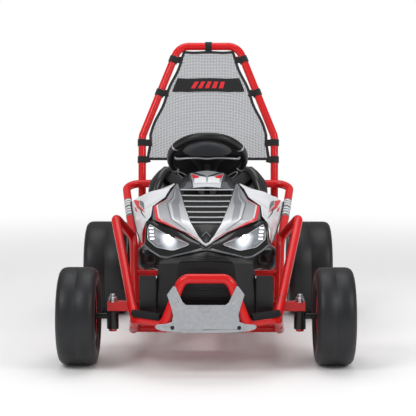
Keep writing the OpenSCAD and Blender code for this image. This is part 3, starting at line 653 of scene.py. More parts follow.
def along(grid, places):
    """Points and normals on a dense grid at (row, column) places given as shares of 0 to 1."""
    rows, columns = grid.shape[:2]
    lean = normals(grid)
    at = np.asarray(places, float) * [rows - 1, columns - 1]
    i = np.minimum(at.astype(int), [rows - 2, columns - 2])
    u, v = (at - i).T[:, :, None]
    out = []
    for field in (grid, lean):
        a, b = field[i[:, 0], i[:, 1]], field[i[:, 0] + 1, i[:, 1]]
        c, d = field[i[:, 0], i[:, 1] + 1], field[i[:, 0] + 1, i[:, 1] + 1]
        out.append((1 - u) * (1 - v) * a + u * (1 - v) * b + (1 - u) * v * c + u * v * d)
    return out


def ribbon(grid, places, widths, lift=0.3, thickness=0.8, count=60):
    """Strip that follows places on a grid: the line joins them straight, and half its width lies on either
    side, square to the surface's normal. All in millimetres."""
    middle, lean = along(grid, straight_line(places, count))
    width = straight_line(np.asarray(widths, float)[:, None], count)
    run = np.gradient(middle, axis=0)
    across = np.cross(run, lean)
    across /= np.linalg.norm(across, axis=-1, keepdims=True)
    raised = middle + lean * (lift + thickness)
    strip = np.stack([raised - across * width / 2, raised, raised + across * width / 2], axis=1)
    return shell(strip, thickness)


def film(grid, first, second, lift=0.3, thickness=0.5, count=40):
    """Film on a grid between two lines of places, each joined straight and both walked at the same pace.
    All in millimetres."""
    share = np.linspace(0, 1, 7)[:, None, None]
    places = straight_line(first, count) * (1 - share) + straight_line(second, count) * share
    spot, lean = along(grid, places.reshape(-1, 2))
    sheet = (spot + lean * (lift + thickness)).reshape(7, count, 3)
    level = lean.reshape(7, count, 3)
    same_way = np.sum(normals(sheet) * level) > 0
    return shell(sheet if same_way else sheet[::-1], thickness)


def arched(rows, sink, share):
    """Rows of [edge, middle] as rows of five points: edge, halfway, middle, and both on the other side. The
    halfway points lie sink nearer the front, and that share of the way up to the middle."""
    edge, middle = np.swapaxes(np.array(rows, float), 0, 1)
    half = (edge + middle) / 2 - [0, sink, 0]
    half[:, 2] = edge[:, 2] + (middle[:, 2] - edge[:, 2]) * share
    return np.stack([edge, half, middle, half * [-1, 1, 1], edge * [-1, 1, 1]], axis=1)


def outline_ring(corners, count=72):
    """Closed outline through the corners, straight between them, with its corners rounded by an average
    over a few neighbours."""
    line = straight_line(np.concatenate([corners, corners[:1]]), count + 1)[:-1]
    for _ in range(2):
        line = (np.roll(line, 1, 0) + 2 * line + np.roll(line, -1, 0)) / 4
    return line


def ring_wall(grid):
    """Faces of rings that close on themselves, and from the last ring back to the first."""
    return grid, quads(*grid.shape[:2], close_rows=True, close_columns=True)


hood = straight_grid(np.array(HOOD, float), 51, 25)[:, ::-1]
piece("hood_shell", both(shell(hood, PANEL_WALL)), GREY, ("hood_panels",), sharp=14,
      bevel=0.8)
hood_marks = (
    ("hood_dark_edges", DARK_GREY,
     film(hood, [(0.665, 0.0), (0.50, 0.0), (0.335, 0.0), (0.30, 0.02)],
          [(0.665, 0.10), (0.515, 0.03), (0.33, 0.10), (0.30, 0.05)])),
    ("chevron_red", FILM_RED,
     ribbon(hood, [(0.665, 0.14), (0.515, 0.065), (0.325, 0.12), (0.195, 0.13), (0.07, 0.45)],
            [8.5, 8.5, 8.5, 3.5, 1.8])),
    ("chevron_pale", FILM_PALE,
     ribbon(hood, [(0.655, 0.20), (0.505, 0.125), (0.335, 0.18), (0.20, 0.22), (0.09, 0.62)],
            [4, 4, 4, 4, 2])),
    ("hood_line", FILM_GREY,
     ribbon(hood, [(0.93, 0.47), (0.80, 0.46), (0.66, 0.43), (0.50, 0.46), (0.333, 0.48), (0.20, 0.47)],
            [2.0, 2.0, 2.5, 2.5, 2.5, 1.5], 0.1, 0.6)),
    ("hood_inlay", HOOD_INLAY,
     film(hood, [(0.86, 0.60), (0.60, 0.60), (0.34, 0.57)],
          [(0.86, 0.90), (0.60, 0.86), (0.32, 0.74)])),
)
for name, finish, form in hood_marks:
    piece(name, both(form), finish)

side_panel = creased_grid(SIDE, 41, 25)
piece("side_shell", both(shell(side_panel, PANEL_WALL)), WHITE, ("side_panels",), sharp=16,
      bevel=0.8)
edge = [(s, 0.012) for s in np.linspace(0.01, 0.79, 8)]
piece("side_trim", both(ribbon(side_panel, edge, [5] * 8, 0.2, 1.6)), BLACK_GRAIN)
SIDE_MARKS = (  # name, finish, and the two lines between which the film lies
    ("slash_red", FILM_RED,
     [(0.815, 0.11), (0.70, 0.28), (0.57, 0.31), (0.362, 0.685)],
     [(0.795, 0.11), (0.66, 0.17), (0.56, 0.24), (0.355, 0.68)]),
    ("slash_tip", FILM_RED,
     [(0.63, 0.13), (0.56, 0.20), (0.49, 0.24)],
     [(0.615, 0.12), (0.53, 0.16), (0.49, 0.235)]),
    ("slash_grey", FILM_GREY,
     [(0.69, 0.31), (0.60, 0.42), (0.42, 0.62)],
     [(0.68, 0.30), (0.575, 0.335), (0.42, 0.60)]),
    ("slash_dark", FILM_DARK,
     [(0.58, 0.22), (0.45, 0.49), (0.248, 0.71)],
     [(0.575, 0.215), (0.425, 0.47), (0.245, 0.70)]),
)
for name, finish, first, second in SIDE_MARKS:
    piece(name, both(film(side_panel, first, second)), finish)

# Black inner skin between the hood and the side panels, set below both
rows = np.linspace(0.38, 0.97, 14)
low_edge = along(hood, [(s, 0.06) for s in rows])[0] - [0, 0, 8]
high_edge = along(side_panel, [((s - 0.4) / 0.6, 0.93) for s in np.clip(rows, 0.40, 0.99)])[0] - [0, 0, 8]
skin = np.stack([high_edge, (low_edge + high_edge) / 2 - [0, 0, 3], low_edge], axis=1)
piece("nose_inner_skin", both(shell(skin, 2.0)), BLACK_GRAIN)


def mask_station(x, z):
    """Station of the lamp mask at a place seen from the front: between the two edges of its columns, and up
    to 6 mm forward of the straight line that joins them."""
    low = np.array([c[0] for c in MASK], float)
    high = np.array([c[1] for c in MASK], float)
    low_station, low_z = (np.interp(x, low[:, 0], low[:, k]) for k in (1, 2))
    high_station, high_z = (np.interp(x, high[:, 0], high[:, k]) for k in (1, 2))
    share = (z - low_z) / (high_z - low_z)
    return (1 - share) * low_station + share * high_station - 24 * share * (1 - share)


LAMP = np.array([[42, 336.5], [84, 347], [122, 360], [156, 378], [161, 368], [162, 340], [137, 321],
                 [90, 317]], float)
CORE = (103.0, 343.0)
lamp_edge = outline_ring(LAMP)
face = np.stack([lamp_edge[:, 0], mask_station(lamp_edge[:, 0], lamp_edge[:, 1]), lamp_edge[:, 1]], -1)
core = np.array([CORE[0], mask_station(*CORE), CORE[1]])


def lamp_ring(share, depth):
    """The lamp's edge drawn towards its core by that share and set back by depth."""
    return core + (face - core) * share + [0, depth, 0]


def lamp_form(rings):
    """Closed form of lamp rings given as (share, depth)."""
    return in_metres(ring_wall(np.stack([lamp_ring(*ring) for ring in rings])))


bezel = ((1.06, 1.0), (1.05, -1.5), (1.00, -2.0), (0.97, 0.0), (0.96, 6.0), (1.04, 6.0))
piece("lamp_bezels", both(lamp_form(bezel)), BLACK_GLOSS)
bowl = ((1.0, 4.0), (0.96, 10.0), (0.80, 17.0), (0.55, 22.0), (0.30, 25.0), (0.14, 26.0), (0.14, 28.0),
        (0.60, 25.0), (1.02, 12.0), (1.03, 4.0))
piece("lamp_bowls", both(lamp_form(bowl)), plated_reflector(*CORE), ("head_lamps",))
bulb = turned([(-2, 0.01), (-1.5, 7), (2, 11), (9, 12), (20, 12), (20, 0.01)], kart(core + [0, 3, 0]),
              (0, 1, 0), 32)
piece("lamp_cores", both(bulb), glowing("led_white", "#ffffff", 2.5))
bars = []
for z in (341, 350, 359, 368):
    x = 148 + (z - 341) * 0.12
    bars.append(in_metres(block((x, float(mask_station(x, z)) + 5, z), (6.0, 4.0, 2.4))))
piece("lamp_bars", both(*bars), glowing("led_bar_white", "#ffffff", 0.75))
tip = np.array([[62, 330], [46, 334.5], [60, 341], [84, 350]], float)
tip_path = straight_line(np.stack([tip[:, 0], mask_station(tip[:, 0], tip[:, 1]) + 1.5, tip[:, 1]], -1), 30)
piece("lamp_tip_lines", both(rod(tip_path, oval(0.0014, 0.0014, 10))), FILM_ROSE)
rim_line = swept(kart(lamp_ring(0.985, -2.2)), oval(0.0009, 0.0009, 10), (0.0, 1.0, 0.0), closed=True)
piece("lamp_outlines", both(capped(rim_line, closed=True)), PALE_GREY)
lens = ((0.02, -1.5), (0.5, -1.2), (0.9, 0.0), (1.0, 1.5), (1.0, 3.0), (0.9, 1.5), (0.5, 0.3), (0.02, 0.0))
piece("lamp_lenses", both(lamp_form(lens)), clear_lens())

# Lamp mask with an opening for each lamp: rings from the lamp's edge out to the mask's own edge
mask_edge = np.concatenate([straight_line([c[1] for c in MASK], 19)[:-1],
                            straight_line([MASK[-1][1], MASK[-1][0]], 19)[:-1],
                            straight_line([c[0] for c in MASK[::-1]], 19)[:-1],
                            straight_line([MASK[0][0], MASK[0][1]], 19)[:-1]])
inner_turn = np.arctan2(face[:, 2] - core[2], face[:, 0] - core[0])
outer_turn = np.arctan2(mask_edge[:, 2] - core[2], mask_edge[:, 0] - core[0])
spread = np.linspace(-np.pi, np.pi, 97)[:-1]


def by_turn(points, turn):
    """The points of a ring at even turns round the lamp's core."""
    order = np.argsort(turn)
    columns = [np.interp(spread, turn[order], points[order, k], period=2 * np.pi) for k in range(3)]
    return np.stack(columns, -1)


hole, rim = by_turn(face, inner_turn), by_turn(mask_edge, outer_turn)
shares = np.linspace(0, 1, 7)[:, None, None]
rings = hole + (rim - hole) * shares
rings[1:-1, :, 1] = mask_station(rings[1:-1, :, 0], rings[1:-1, :, 2])
rings = np.concatenate([rings, (rings + [0, 3, 0])[::-1]])
piece("mask_shell", both(in_metres(ring_wall(rings))), BLACK_GLOSS, ("nose_mask",),
      sharp=30)
lip_line = np.array([[0, -81, 327.5], [42, -70, 318.5], [86, -49, 305.5], [104, -31, 298], [126, -9, 300],
                     [150, 16, 311], [172, 40, 325]])
lip_line = straight_line(lip_line, 60)
lip_size = np.interp(np.linspace(0, 1, 60), [0, 0.35, 0.55, 0.8, 1], [1.2, 2.6, 7.0, 6.5, 3.0])
lip = swept(kart(lip_line), np.stack([oval(2.2 * MM, h * MM, 16, 3) for h in lip_size]), (0.0, 1.0, 0.2))
piece("mask_lip", both(capped(lip)), DARK_GREY)

# Grille: tray, slats, chin and the silver tip below it

GRILLE = [[14, -52, 354], [42, 0, 388], [62, 100, 425], [78, 200, 459]]
grille_line = straight_line(GRILLE, 31)


def grille_row(z):
    """[half width, station, z] of the grille's opening at a height."""
    return [float(np.interp(z, grille_line[:, 2], grille_line[:, k])) for k in range(3)]


tray_side = [grille_line + [-2.5, 0, -1], grille_line + [-3.0, 2, -16]]
tray = np.stack([*tray_side, *[mirrored(line) for line in tray_side[::-1]]], axis=1)
piece("grille_tray", [shell(tray, 1.5)], DEEP_BLACK, ("grille",))
slats = []
for z in (463, 449.5, 437, 425.5, 414, 403, 392.5):
    half, station, _ = grille_row(z - 1.5)
    x = np.linspace(-half + 2.5, half - 2.5, 21)
    bow = 6 * (1 - (x / half) ** 2)
    path = np.stack([x, station - bow * 0.6 - 2, z - 3.0 + 0 * x], -1)
    slats.append(rod(path, oval(4.0 * MM, 1.7 * MM, 16, 4)))
piece("grille_slats", slats, PALE_GREY)
chin_rows = [[[38, -2, 383], [0, -12, 386]], [[27, -30, 366], [0, -44, 370]],
             [[14, -54, 352], [0, -64, 354]], [[5, -66, 341], [0, -71, 342]]]
chin = straight_grid(arched(chin_rows, 2, 1 / 2), 25, 33)
piece("grille_chin", [shell(chin[::-1], 2.5)], BLACK_GRAIN, sharp=20, bevel=0.5)
emboss = [(0.42, 0.22), (0.62, 0.50), (0.42, 0.78)]
piece("chin_emboss", [ribbon(chin[::-1], emboss, [3.5, 3.5, 3.5], 0.2, 1.0)], DARK_GREY)
tip_path = straight_line([[21, -55, 350.5], [9, -69, 341.5], [0, -76, 337.5], [-9, -69, 341.5],
                          [-21, -55, 350.5]], 41)
tip_size = 1.5 + 4.0 * np.sin(np.linspace(0, np.pi, 41)) ** 0.7
tip_form = swept(kart(tip_path), np.stack([oval(3.0 * MM, h * MM, 16, 3) for h in tip_size]),
                 (0.0, -1.0, 0.6))
piece("nose_tip", [capped(tip_form)], PALE_GREY)

# Cowl over the steering shaft with its dark flanks and two white plates

COWL = [  # rows from the grille back, [edge, middle]
    [[39, 212, 464], [0, 208, 468]],
    [[42, 240, 477], [0, 234, 481]],
    [[50, 300, 498], [0, 297, 506]],
    [[47, 336, 491], [0, 338, 498]],
]
cowl = creased_grid(arched(COWL, 0, 2 / 3), 37, 25)
piece("cowl_shell", [shell(cowl, PANEL_WALL)], SILVER, ("cowl",), sharp=20, bevel=0.6)
COWL_MARKS = (  # name, finish, the two lines of the left-hand film, lift
    ("cowl_plates", WHITE,
     [(0.500, 0.11), (0.49, 0.30), (0.455, 0.475)],
     [(0.27, 0.08), (0.25, 0.30), (0.215, 0.475)], 0.3),
    ("cowl_flashes", FILM_RED,
     [(0.60, 0.045), (0.55, 0.16), (0.47, 0.25)],
     [(0.50, 0.06), (0.45, 0.115), (0.455, 0.24)], 1.0),
    ("cowl_browline", FILM_DARK,
     [(0.72, 0.045), (0.57, 0.285), (0.49, 0.46)],
     [(0.67, 0.05), (0.52, 0.285), (0.462, 0.475)], 1.0),
)
for name, finish, first, second, lift in COWL_MARKS:
    other = [[(a, 1 - b) for a, b in line] for line in (first, second)]
    piece(name, [film(cowl, first, second, lift), film(cowl, *other, lift)], finish)
flank = np.array([[[78, 206, 460], [58, 207, 462], [39.5, 212, 463]],
                  [[73, 250, 474], [58, 244, 476], [44, 240, 475]],
                  [[70, 290, 486], [61, 297, 492], [51.5, 300, 497]],
                  [[70, 338, 470], [60, 338, 480], [48.5, 336, 490]]], float)
flank = creased_grid(flank, 31, 9)
piece("cowl_flanks", both(shell(flank, PANEL_WALL)), DARK_GREY, sharp=20)

# Shield below the lamps

SHIELD = [  # rows from the top: half width, front, bow, side, side height, rise
    [90, -60.5, 15, -44.5, 301.8, 23.6],
    [126, -80, 6, -58, 286, 10],
    [139, -92, 3, -60, 205, 0],
    [142, -92, 3, -60, 140, 0],
]


def shield_row(half, front, bow, side, z, rise):
    """A row of the shield from its left rear edge round the front to its right rear edge."""
    left = [[half, -13, z], [half, side, z], [half * 0.6, front, z + rise * 0.4]]
    return left + [[0, front - bow, z + rise]] + [[-x, s, h] for x, s, h in left[::-1]]


shield = straight_grid(np.array([shield_row(*row) for row in SHIELD], float), 49, 91)[:, ::-1]
piece("shield_shell", [shell(shield, PANEL_WALL)], BLACK_GRAIN, ("front_shield",),
      sharp=20, bevel=1.0)
ribs = [ribbon(shield, [(s, 0.34), (s, 0.5), (s, 0.66)], [3, 3, 3], -1.0, 2.2, 30)
        for s in np.linspace(0.16, 0.95, 18)]
step = [(0.635, 0.335), (0.605, 0.37), (0.597, 0.5), (0.605, 0.63), (0.635, 0.665)]
piece("shield_ribs", [*ribs, ribbon(shield, step, [3] * 5, 0.2, 2.0)], BLACK_GRAIN)


# Seat shell, cushions and harness

SEAT = [  # rows from the front edge up the back: station, z, half width, wall height, lean
    [300, 218, 188, 40, 0], [360, 206, 196, 52, 0], [470, 200, 196, 56, 0], [545, 206, 190, 62, 14],
    [598, 240, 186, 56, 40], [622, 330, 182, 22, 48], [650, 430, 180, 8, 44], [668, 484, 140, 3, 24]]
SEAT_WALL = 5.0


def seat_columns(station, z, half, high, lean):
    """A row of the seat shell from its left edge over the middle to its right edge."""
    left = [[half, station - lean, z + high], [half - 10, station - lean / 2, z + 0.4 * high],
            [0.7 * half, station, z], [0.35 * half, station, z]]
    return left + [[0, station, z]] + [[-x, s, h] for x, s, h in left[::-1]]


seat = smooth_grid(np.array([seat_columns(*row) for row in SEAT], float), 71, 81)
lip = []
for edge in (seat[:, 0], seat[:, -1], seat[-1], seat[0]):
    inset = (seat[35, 40] - edge) * [0.02, 0, 0]
    lip.append(rod(edge + inset, oval(5 * MM, 5 * MM, 14), (0.3, -1.0, 0.5)))
piece("seat_bucket", [shell(seat, SEAT_WALL), *lip], SEAT_BLACK, ("seat_shell",), sharp=40)
ROLLS = (  # moulded rolls along the bucket's edge: [x, station, z, half width, half height]
    [[178, 292, 245, 5, 6], [178, 294, 245, 16, 18], [178, 299, 245, 25, 28], [178, 310, 245, 30, 34],
     [179, 335, 246, 30, 36], [183, 380, 247, 21, 33], [187, 430, 247, 10, 23], [185, 500, 252, 8, 16],
     [178, 545, 262, 7, 10]],
    [[176, 560, 290, 8, 8], [176, 570, 345, 14, 11], [172, 588, 400, 18, 14], [160, 612, 445, 20, 15],
     [140, 636, 474, 16, 13], [112, 652, 484, 9, 9]],
)
rolls = []
for rows in ROLLS:
    line = smooth_line(rows, 61)
    rolls.append(rod(line[:, :3], oval(1.0, 1.0, 28, 2.4) * line[:, None, 3:] * MM, (0.0, 0.3, 1.0)))
piece("seat_rolls", both(*rolls), SEAT_BLACK, sharp=60)


def seat_place(k, lift):
    """[station, z] of the seat's middle line at row k, which may be a fraction, lift above the shell."""
    rows = np.array([r[:2] for r in SEAT], float)

    def line(at):
        return np.stack([np.interp(at, range(len(SEAT)), rows[:, c]) for c in (0, 1)], -1)

    run = line(np.asarray(k) + 0.3) - line(np.maximum(np.asarray(k) - 0.3, 0))
    run /= np.linalg.norm(run, axis=-1, keepdims=True)
    return line(k) + np.asarray(lift)[..., None] * np.stack([-run[..., 1], run[..., 0]], -1)


def pad(first, last, half, thick, rows=46, columns=40):
    """Closed cushion on the shell: crowned top, sides that pull in between the corners, flat underside."""
    k = np.linspace(first, last, rows)[:, None]
    t = np.linspace(-1, 1, columns)[None, :]
    s = np.linspace(0, 1, rows)[:, None]
    crown = (1 - 0.55 * np.abs(t) ** 5) * (1 - 0.55 * np.abs(2 * s - 1) ** 7)
    waist = 1 - 0.035 * np.sin(np.pi * s) ** 2
    layers = []
    for share in (1.0, 0.55, 0.0):
        place = seat_place(k + 0 * t, 1.0 + thick * share * (crown if share else 1.0))
        wide = half * (waist + (0.02 if share == 0.55 else -0.02))
        layers.append(np.concatenate([(t * wide + 0 * s)[..., None], place], -1))
    around = np.concatenate([layers[0], layers[1][:, -1:], layers[2][:, ::-1], layers[1][:, :1]], axis=1)
    return capped(around)


def swollen(made, reach):
    """Cloth blown up from inside: the pad is remeshed, pressed out against its own stretch for 20 frames,
    and no point moves more than reach."""
    remesh = made.modifiers.new("remesh", "REMESH")
    remesh.mode, remesh.voxel_size = "VOXEL", 5 * MM
    depsgraph = bpy.context.evaluated_depsgraph_get()
    coarse = bpy.data.meshes.new_from_object(made.evaluated_get(depsgraph))
    made.modifiers.remove(remesh)
    old, made.data = made.data, coarse
    bpy.data.meshes.remove(old)
    rest = np.empty(len(coarse.vertices) * 3, np.float32)
    coarse.vertices.foreach_get("co", rest)
    cloth = made.modifiers.new("cloth", "CLOTH")
    cloth.settings.use_pressure = True
    cloth.settings.uniform_pressure_force = 4.0
    cloth.settings.effector_weights.gravity = 0.0
    scene = bpy.context.scene
    for moment in range(1, 21):
        scene.frame_set(moment)
    blown = made.evaluated_get(bpy.context.evaluated_depsgraph_get())
    moved = np.empty_like(rest)
    blown.to_mesh().vertices.foreach_get("co", moved)
    blown.to_mesh_clear()
    made.modifiers.remove(cloth)
    scene.frame_set(1)
    step = (moved - rest).reshape(-1, 3)
    length = np.linalg.norm(step, axis=1, keepdims=True)
    step *= np.minimum(1.0, reach * MM / np.maximum(length, 1e-9))
    coarse.vertices.foreach_set("co", (rest.reshape(-1, 3) + step).ravel())
    coarse.shade_smooth()
    coarse.update()
    soft = made.modifiers.new("soft", "SUBSURF")
    soft.levels = soft.render_levels = 1


for name, form in (("seat_cushion_pad", pad(0.32, 2.85, 112, 21)),
                   ("back_cushion_pad", pad(4.28, 6.42, 104, 21))):
    made = piece(name, [in_metres(form)], VINYL, (name.replace("_pad", ""),), sharp=70)
    swollen(made, 3.0)

# Shoulder straps up the back cushion along the seat's rows, swinging outwards and thicker at the shoulders
k = np.linspace(4.3, 6.75, 80)
share = np.clip((k - 5.6) / 1.1, 0, 1)
out = 66 + 66 * share**2 * (3 - 2 * share)
path = np.concatenate([out[:, None], seat_place(np.minimum(k, 6.7), 25.0 - 9 * share)], -1)
thick = np.interp(k, [4.3, 5.2, 5.5, 6.6, 6.75], [1.4, 1.4, 5.0, 5.0, 2.0])
grid = swept(kart(path), np.stack([oval(16 * MM, h * MM, 20, 4) for h in thick]), (0.0, -1.0, 0.25))
flat = np.stack(np.broadcast_arrays(np.arange(20)[None, :] * 1.8, np.arange(82)[:, None] * 3.6), -1) * MM
piece("shoulder_straps", both((*capped(grid), flat)), WEBBING, ("seat_belt",), sharp=60)


# Steering wheel, on its own plane: across, down the wheel's face, and out along the column

column_up = np.array([0.0, math.sin(COLUMN_LEAN), math.cos(COLUMN_LEAN)])
face_down = np.array([0.0, math.cos(COLUMN_LEAN), -math.sin(COLUMN_LEAN)])


def on_wheel(points):
    """Points written as [across, down the face, out of it] in millimetres about the wheel's centre, in
    metres of the row's frame."""
    p = np.asarray(points, float)
    return kart(WHEEL_CENTRE) + (p[..., :1] * [1.0, 0, 0] + p[..., 1:2] * face_down
                                 + p[..., 2:] * column_up) * MM


def wheel_form(part):
    """A part written on the wheel's plane, in metres of the row's frame."""
    return on_wheel(part[0]), part[1]


turn = turns(120)
ring_path = np.stack([110 * np.cos(turn), 110 * np.sin(turn), 0 * turn], -1)
# The rim is thinner at its top and its bottom
thick = 1 - 0.08 * np.exp(-(((turn / np.pi * 180) % 180 - 90) / 18) ** 2)
ring = swept(ring_path, np.stack([oval(11.5, 11.5, 20, 2.3) * k for k in thick]), (0.0, 0.0, 1.0),
             closed=True)
piece("wheel_rim", [wheel_form(capped(ring, closed=True))], GRIP, ("steering_wheel",),
      "steering")
bands = []
for k in (8, 50, 70, 110):
    band = swept(ring_path[[k, k + 1]], oval(12.0, 12.0, 24, 2.3), (0.0, 0.0, 1.0))
    bands.append(wheel_form(capped(band)))
piece("wheel_seams", bands, SILVER, (), "steering")


def disc_form(rows, under, over, count=33):
    """Closed form in the wheel's plane: rows of (down the face, half width), swelling under and over the
    plane by those heights in the middle."""
    rows = smooth_line(rows, 41)
    t = np.linspace(-1, 1, count)
    s = np.linspace(0, 1, len(rows))[:, None]
    swell = (1 - t**4)[None, :] * (1 - (2 * s - 1) ** 6) + 0.12
    across, down = rows[:, 1:] * t, rows[:, :1] + 0 * t
    low = np.stack([across, down, -under * swell], -1)
    top = np.stack([across, down, over * swell], -1)
    return wheel_form(capped(np.concatenate([low, top[:, ::-1]], axis=1)))


cover = disc_form([(-98, 5), (-92, 28), (-78, 55), (-62, 72), (-46, 79), (-34, 74), (-26, 60)], 17, 12)
piece("wheel_cover", [cover], CHARCOAL, ("wheel_pad",), "steering")
turn = turns(96)
web = np.stack([np.stack([r * np.cos(turn), r * np.sin(turn), o + 0 * turn], -1)
                for r, o in ((8, -8), (60, -9), (92, -7), (104, -4), (104, 0), (92, -2), (60, -3), (8, -3))])
piece("wheel_web", [wheel_form(capped(web))], BLACK_GRAIN, (), "steering")
hub = disc_form([(-30, 58), (-18, 62), (0, 52), (24, 38), (48, 30), (60, 20)], 20, 13)
spokes = []
for tip, root, wide in (((102, -6, 0), (40, -10, -2), 15.0), ((0, 102, 0), (0, 40, -4), 18.0)):
    path = straight_line([root, tip], 12)
    size = np.linspace(1.1, 0.9, 12)[:, None, None]
    spokes.append(wheel_form(capped(swept(path, oval(wide, 6.0, 20, 3) * size, (0.0, 0.0, 1.0)))))
piece("wheel_hub", [hub, *spokes, other_side(spokes[0])], BLACK_GRAIN, (), "steering")
bow = [(97, -14, -9), (86, -16, -14), (60, -26, -19), (28, -30, -21)]
bow = smooth_line([(-x, y, z) for x, y, z in bow] + [(0, -28, -22)] + bow[::-1], 61)
size = np.interp(np.linspace(-1, 1, 61), [-1, -0.85, -0.5, 0, 0.5, 0.85, 1],
                 [6.5, 6.0, 2.2, 2.6, 2.2, 6.0, 6.5])
trim = capped(swept(bow, np.stack([oval(h, 2.0, 16, 3) for h in size]), (0.0, 0.0, 1.0)))
turn = turns(40)
leaf = np.stack([-75 + 15 * np.cos(turn) + 4 * np.sin(turn), 72 + 17 * np.cos(turn) - 8 * np.sin(turn),
                 -12 + 0 * turn], -1)
loop = capped(swept(leaf, oval(1.6, 1.6, 10), (0.0, 0.0, 1.0), closed=True), closed=True)
piece("wheel_trim", [wheel_form(trim), *both(wheel_form(loop))], SILVER, (), "steering")


# Bumper plate, foot bars, pedals


def cut_plate(outline, holes, station, thickness):
    """Flat plate that faces the front, cut along the outline and the holes, both rows of [x, z] in
    millimetres."""
    loops = [np.asarray(line, float) for line in [outline, *holes]]
    flat = np.concatenate(loops)
    corners = [[mathutils.Vector((x, z, 0)) for x, z in line] for line in loops]
    triangles = np.array(mathutils.geometry.tessellate_polygon(corners))
    count, start, faces = len(flat), 0, [triangles, triangles[:, ::-1] + len(flat)]
    points = np.stack([np.stack([flat[:, 0], station + t + 0 * flat[:, 0], flat[:, 1]], -1)
                       for t in (0, thickness)])
    for line in loops:
        i = np.arange(len(line))
        j = (i + 1) % len(line)
        faces.append(np.stack([start + i, start + j, count + start + j, count + start + i], -1))
        start += len(line)
    return kart(points.reshape(-1, 3)), [row for block in faces for row in block.tolist()]


PLATE_FACE = -165.4
half = [[0, 193], [52, 193], [60, 200], [79, 241], [84, 243], [101, 220], [90, 187], [85, 166], [88, 148],
        [104, 143], [128, 141], [133, 135], [128, 129], [112, 124], [60, 120], [0, 120]]
plate_edge = half + [[-x, z] for x, z in half[-2:0:-1]]
around = turns(24)
holes = [np.stack([x + 4 * np.cos(around), 133 + 4 * np.sin(around)], -1) for x in (-87, 87)]
piece("bumper_shield", [cut_plate(plate_edge, holes, PLATE_FACE, 2.4)], STEEL, ("bumper_plate",),
      sharp=30, bevel=1.0)
raised = np.array([[-15, 190], [15, 190], [9.5, 173], [-9.5, 173]], float)
inside = [[-12.8, 188.4], [-8.3, 174.6], [8.3, 174.6], [12.8, 188.4]]
emboss = cut_plate(raised, [inside], PLATE_FACE - 0.9, 1.0)
piece("plate_emboss", [emboss], STEEL, sharp=30)
BOLT_HEAD = [(0.4, 0.01), (0.4, 5.4), (-0.3, 5.4), (-1.2, 4.6), (-1.6, 3.0), (-1.6, 1.8), (-0.6, 1.6),
             (-0.6, 0.01)]
bolts = []
for x, z in ((-72, 198), (72, 198), (-87, 133), (87, 133)):
    bolts.append(turned(BOLT_HEAD, kart([x, PLATE_FACE, z]), (0.0, 1.0, 0.0), 24))
piece("plate_bolts", bolts[:2], ZINC)
piece("plate_plugs", bolts[2:], BLACK_GRAIN)

FOOT_BAR = [[120, -133, 154.5], [195, -94, 158.5]]
bar = straight_line(FOOT_BAR, 40)
size = np.minimum(1, 0.86 + 0.14 * np.minimum(np.arange(40), np.arange(40)[::-1]) / 2)
sleeve = rod(bar, oval(10 * MM, 10 * MM, 28) * size[:, None, None])
piece("foot_sleeves", both(sleeve), FOAM, ("foot_bars",))

PEDAL = (155.5, -66.0, 203.0)
PEDAL_HALF = (23.5, 51.0)  # half its width and height
for side, name, stands in ((1, "brake_pad", "brake_pedal"), (-1, "accelerator_pad", "accelerator_pedal")):
    rise = np.linspace(-1, 1, 25)
    curve = np.array(PEDAL) + rise[:, None] * [0.0, 0.0, PEDAL_HALF[1]]
    section = oval(PEDAL_HALF[0] * MM, 3.9 * MM, 28, 6) * (1 - 0.10 * np.abs(rise) ** 10)[:, None, None]
    face_form = rod(curve, section, (0.0, 1.0, 0.0))
    ends = np.array([[PEDAL[0] - 18, PEDAL[1] - 3.2, 0], [PEDAL[0] + 18, PEDAL[1] - 3.2, 0]])
    treads = [rod(ends + [0, 0, z], oval(1.8 * MM, 0.8 * MM, 10), (0, 1, 0)) for z in np.arange(162, 246, 9)]
    arm = in_metres(block((PEDAL[0], -38, 161), (7, 24, 7)))
    forms = [face_form, *treads, arm]
    if side < 0:
        forms = [other_side(form) for form in forms]
    piece(name, forms, BLACK_GRAIN, (stands,))


# Straps round the hoop

TUBE = 12.5
STRAP_SECTION = oval(11 * MM, 1.1 * MM, 16, 5)
STRAPS = [(0, 1, 0.15), (0, 1, 0.52), (1, 2, 0.04), (1, 2, 0.15)]
wraps = []
profile = [(-10.6, TUBE + 0.2), (-11, TUBE + 1.4), (-10.4, TUBE + 2.7), (10.4, TUBE + 2.7),
           (11, TUBE + 1.4), (10.6, TUBE + 0.2)]
places = [(HOOP[a] + (HOOP[b] - HOOP[a]) * k, HOOP[b] - HOOP[a]) for a, b, k in STRAPS]
for place, run in places:
    run = run / np.linalg.norm(run)
    wraps.append(turned(profile, kart(place), run, 40, closed=True))
    share = float(np.interp(-place[2], [-row[2] for row in NET_ROWS], NET_SHARES))
    edge = net_point(np.array(share), np.array(0.97))
    tab = straight_line([place + [-8, -6, 0], edge], 12)
    wraps.append(rod(tab, STRAP_SECTION, (0.0, -1.0, 0.2)))
top = turned(profile, kart([0, *HOOP[0, 1:]]), (1.0, 0, 0), 40, closed=True)
tab = rod(straight_line([[0, 838, 866], [0, 838, 850]], 8), STRAP_SECTION, (0.0, -1.0, 0.0))
piece("hoop_straps", [*both(*wraps), top, tab], WEBBING, ("net_straps",), sharp=50)

